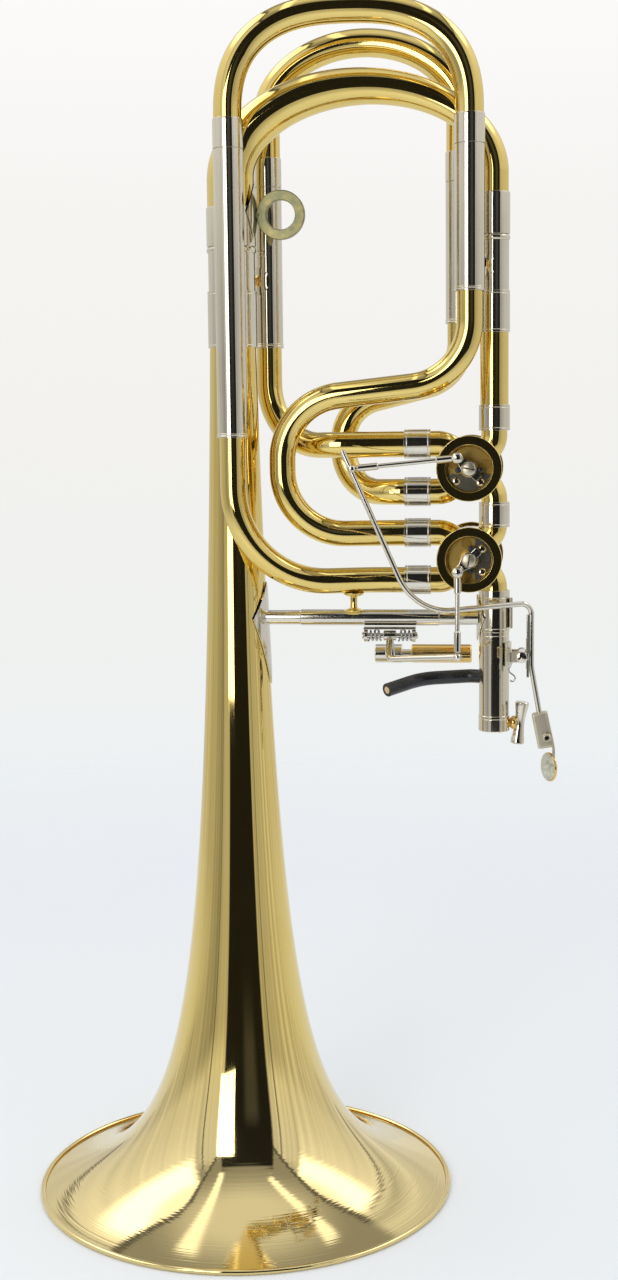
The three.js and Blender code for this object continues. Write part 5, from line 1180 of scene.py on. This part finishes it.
# %% Lever and grip
roller_y, roller_z = 34, 310
finger_hub = turned([(1.75, 84), (2.9, 84), (2.9, 91), (1.75, 91)], "x", (0, finger_y, finger_z),
                    44, 0.3)
front_arm = bent_route([(87.5, -7.45, 323.75), (87.5, -20, 313.7, 5), finger_ball])
rear_arm = bent_route([(87.5, -4.55, 323.75), (87.5, 9, roller_z, 10), (84, roller_y, roller_z)])
barrel = turned([(0, 76), (5.0, 76), (5.4, 76.4), (5.4, 91.6), (5.0, 92), (2.4, 92), (2.4, 96.9),
                 (0, 96.9)], "x", (0, roller_y, roller_z), 56, 0.15)
finished("finger_lever", "bent", NICKEL, screwed_nickel, finger_hub,
         drawn(front_arm, 1.9, 28), drawn(rear_arm, 1.9, 28), ball(2.3, finger_ball), barrel,
         *cross_head(1.4, 0.5, (128.5, -40, 317.4), (1, 0, 0)))
finished("finger_grip", "turned", BRASS, warm_brass,
         turned([(0, 97.2), (4.9, 97.2), (5.4, 97.8), (5.4, 131.6), (4.9, 132.3), (0, 132.3)],
                "x", (0, roller_y, roller_z), 56, 0.2))
print("the finger lever hangs under the brace")

# %% [markdown]
# ## Ornament
# A plain ring on a lens-shaped plate marks the main slide. Lacquer has worn off it, so it is
# olive and dull where it was never wiped.

# %% Ring, stub and plate
lens = wrapped(kite_plate(15, 15, 6, 0.8), (0, 0), (1, -0.35), 560, 14.05)
band = turned([(8.0, -1.5), (8.3, -1.8), (13.2, -1.8), (13.5, -1.5), (13.5, 1.5), (13.2, 1.8),
               (8.3, 1.8), (8.0, 1.5)], "y", (28, 0, 558.5), 72, 0.2)
stub = turned([(0, 13.9), (3.4, 13.9), (2.2, 15.0), (1.8, 16.0), (1.8, 20.4), (0, 20.4)], "x",
              (0, 0, 558.5), 36, 0.3)
finished("main_ornament", "made", "aged_brass", [aged_brass, nickel],
         band, stub, coated(lens, 1))
print("pieces so far:", len(made_pieces))

# %% [markdown]
# ## Room and camera
# Metal shows its surroundings more than itself. The object stands on a pale floor in a pale
# room, which is painted by direction: cloth walls up to a ridge, a dim ceiling with two strip
# lamps from front to back, lamps behind the cloth, and a dark doorway behind the viewer, which
# draws the dark stripe down every tube. A soft panel in front is the white strip in the bell.
# Another one, above and not mirrored, lights what isn't metal.

# %% Floor
floor_shape = bmesh.new()
bmesh.ops.create_circle(floor_shape, segments=96, radius=2.0, cap_ends=True)
floor_mesh = bpy.data.meshes.new("floor")
floor_shape.to_mesh(floor_mesh)
floor_shape.free()
placed("floor", floor_mesh)
floor_finish = surface("pale_floor")
paper = floor_finish.noise(3, 2)
set_shader(floor_finish, Roughness=0.85, Specular_IOR_Level=0.2,
           Base_Color=floor_finish.mixed(paper, (0.80, 0.825, 0.85, 1), (0.82, 0.84, 0.86, 1)),
           Alpha=1 - floor_finish.reach().between(0.6, 1.7))
floor_mesh.materials.append(floor_finish.owner)
print("floor laid")

# %% Directions in the room
world = bpy.data.worlds.new("pale_room")
bpy.context.scene.world = world
room = Finish(world)
for ready_made in list(room.tree.nodes):
    room.tree.nodes.remove(ready_made)
toward = room.node("ShaderNodeSeparateXYZ", {
    "Vector": room.node("ShaderNodeTexCoord", output="Generated")})
parts = toward.socket.node.outputs
aside, back, up = (Signal(room, parts[axis]) for axis in "XYZ")
around = room.node("ShaderNodeMath", {0: aside, 1: -back}, operation="ARCTAN2")
heading = around * (180 / math.pi)
lift = room.node("ShaderNodeMath", {0: up}, operation="ARCSINE") * (180 / math.pi)


def window(left, right, low, high, blur=4.0):
    """1 inside a rectangle of directions, in degrees, 0 outside, and soft between."""
    return (heading.between(left - blur, left + blur)
            * (1 - heading.between(right - blur, right + blur))
            * lift.between(low - blur, low + blur) * (1 - lift.between(high - blur, high + blur)))


def painted(glow, area, level):
    """The glow so far, with one area of it painted over at a new level; 1 is white."""
    return glow * (1 - area) + area * level


print("heading and lift are in degrees")

# %% Cloth walls, the ridge and the ceiling
wall_levels = ((0.0, 0.84), (0.10, 0.73), (0.20, 0.66), (0.31, 0.50), (0.36, 0.36),
               (0.40, 0.60), (0.62, 0.50), (0.68, 0.58), (0.74, 0.70), (0.86, 0.72), (1.0, 0.84))
walls = room.ramped(around / (2 * math.pi) + 0.5,
                    *((place, (level, level, level)) for place, level in wall_levels))
folds = room.node("ShaderNodeTexNoise", {"W": heading, "Scale": 0.17, "Detail": 2.5},
                  noise_dimensions="1D")
aside_left, aside_right = heading + 90, heading - 108
on_right = heading.between(-10, 10)
ridge = ((65.5 - aside_left * aside_left * 0.0058) * (1 - on_right)
         + (58.5 - aside_right * aside_right * 0.0048) * on_right)
rise = lift - ridge
tent, curtain = lift * lift * 0.00022 + 0.62 + folds * 0.36, folds * 0.9 + 0.4
left_lamp, right_lamp = 2.8, 2.6
glow = walls * (folds * 0.9 + 0.55)
for left, right, low, high, level in (
        (-150, -52, 6, 70, tent), (-52, -22, 4, 46, curtain), (74, 150, 8, 70, tent),
        (46, 74, 8, 46, curtain), (-140, -57, 41, 56, left_lamp), (76, 146, 40, 52, right_lamp)):
    glow = painted(glow, window(left, right, low, high), level)
ceiling = lift.between(52, 78) * 0.52 + 0.36
glow = painted(glow, rise.between(-1.5, 1.5), ceiling)
print("walls and ceiling are painted")

# %% Strip lamps, seams and the doorway
strip_level, seam_level, doorway_level, far_wall_level = 1.7, 0.12, 0.016, 0.07
across, along = aside / up, back / up
for line, near, far in ((-0.285, -0.66, 0.5),
                        (0.386 - along * 0.149 - along * along * 0.231, -0.45, 0.6)):
    off_line = across - line
    strip_lamp = (off_line.between(-0.06, -0.02) * (1 - off_line.between(0.02, 0.06))
                  * along.between(near - 0.06, near + 0.02) * lift.between(20, 30)
                  * (1 - along.between(far - 0.04, far + 0.04)))
    glow = painted(glow, strip_lamp, strip_level)
seam = rise.between(-1.8, -0.6) * (1 - rise.between(0.6, 1.8)) * window(-155, 155, 30, 66, 1)
glow = painted(glow, seam, seam_level)
for left, right, high, level in ((-45.8, -44.2, 48, 0.12), (52.2, 53.8, 46, 0.15),
                                 (-147, -145.4, 48, 0.25), (147.6, 149.2, 46, 0.25)):
    glow = painted(glow, window(left, right, -12, high, 0.8), level)
doorway, far_wall = window(-22, 43, -16, 51, 1.4), window(9, 26, 2, 26, 5)
glow = painted(painted(glow, doorway, doorway_level), far_wall, far_wall_level)
print("lamps and doorway are painted")

# %% What each kind of ray sees
is_seen = room.node("ShaderNodeLightPath", output="Is Camera Ray")
ways = is_seen.socket.node.outputs
is_mirrored = room.node("ShaderNodeMath", {0: Signal(room, ways["Is Glossy Ray"]),
                                           1: Signal(room, ways["Is Transmission Ray"])},
                        operation="MAXIMUM")
plain = room.node("ShaderNodeBackground", {"Color": (0.98, 0.99, 1.0, 1), "Strength": 0.95})
mirrored = room.node("ShaderNodeBackground", {"Color": (0.985, 0.99, 1.0, 1), "Strength": glow})
backdrop = room.ramped(up + 0.5, (0.05, (0.845, 0.88, 0.91)), (0.27, (0.865, 0.90, 0.93)),
                       (0.37, (0.86, 0.88, 0.865)), (0.50, (0.895, 0.885, 0.865)),
                       (0.62, (0.915, 0.905, 0.885)), (0.73, (0.97, 0.96, 0.95)))
seen = room.node("ShaderNodeBackground", {"Color": backdrop, "Strength": 1.0})
lit = room.node("ShaderNodeMixShader", {0: is_mirrored, 1: plain, 2: mirrored})
whole = room.node("ShaderNodeMixShader", {0: is_seen, 1: lit, 2: seen})
end = room.tree.nodes.new("ShaderNodeOutputWorld")
room.feed(end.inputs["Surface"], whole)
print("the room is pale, with a dark doorway behind the viewer")

# %% Soft panels
def panel(name, place, aim, width, height, glow):
    """A soft panel whose face has about the brightness that glow says, 1 being white."""
    light = bpy.data.lights.new(name, "AREA")
    light.shape = "RECTANGLE"
    light.size, light.size_y = width, height
    light.energy = glow * math.pi * width * height
    lamp = placed(name, light)
    lamp.location = place
    lamp.rotation_euler = (Vector(aim) - Vector(place)).to_track_quat("-Z", "Y").to_euler()
    lamp.visible_camera = False
    return lamp


panel("panel_front", (-0.2715, -0.867, 0.5325), (-0.031, 0, 0.5325), 0.334, 0.595, 3.6)
ceiling_panel = panel("panel_above", (0.1, 0.3, 2.6), (0, 0, 0.35), 1.2, 1.0, 1.2)
ceiling_panel.visible_glossy = False
print("the panel in front shows in mirrors, the one above doesn't")

# %% Camera at the photograph's place
turn, dip, lean = math.radians(6.790), math.radians(6.823), math.radians(0.657)
side = Vector((math.cos(turn), math.sin(turn), 0))
ahead = Vector((-math.sin(turn) * math.cos(dip), math.cos(turn) * math.cos(dip), -math.sin(dip)))
above = side.cross(ahead)
leaned_side = side * math.cos(lean) - above * math.sin(lean)
leaned_above = above * math.cos(lean) + side * math.sin(lean)
eye = bpy.data.cameras.new("photograph")
eye.lens, eye.sensor_width = 48.82, 36.0
eye.clip_start, eye.clip_end = 0.05, 60
camera = placed("photograph", eye)
camera.matrix_world = Matrix.Translation((0.12563, -0.9728, 0.4390)) @ Matrix(
    (leaned_side, leaned_above, -ahead)).transposed().to_4x4()
bpy.context.scene.camera = camera
bpy.context.scene.view_settings.view_transform = "Standard"
print("camera at", [round(x, 3) for x in camera.location])
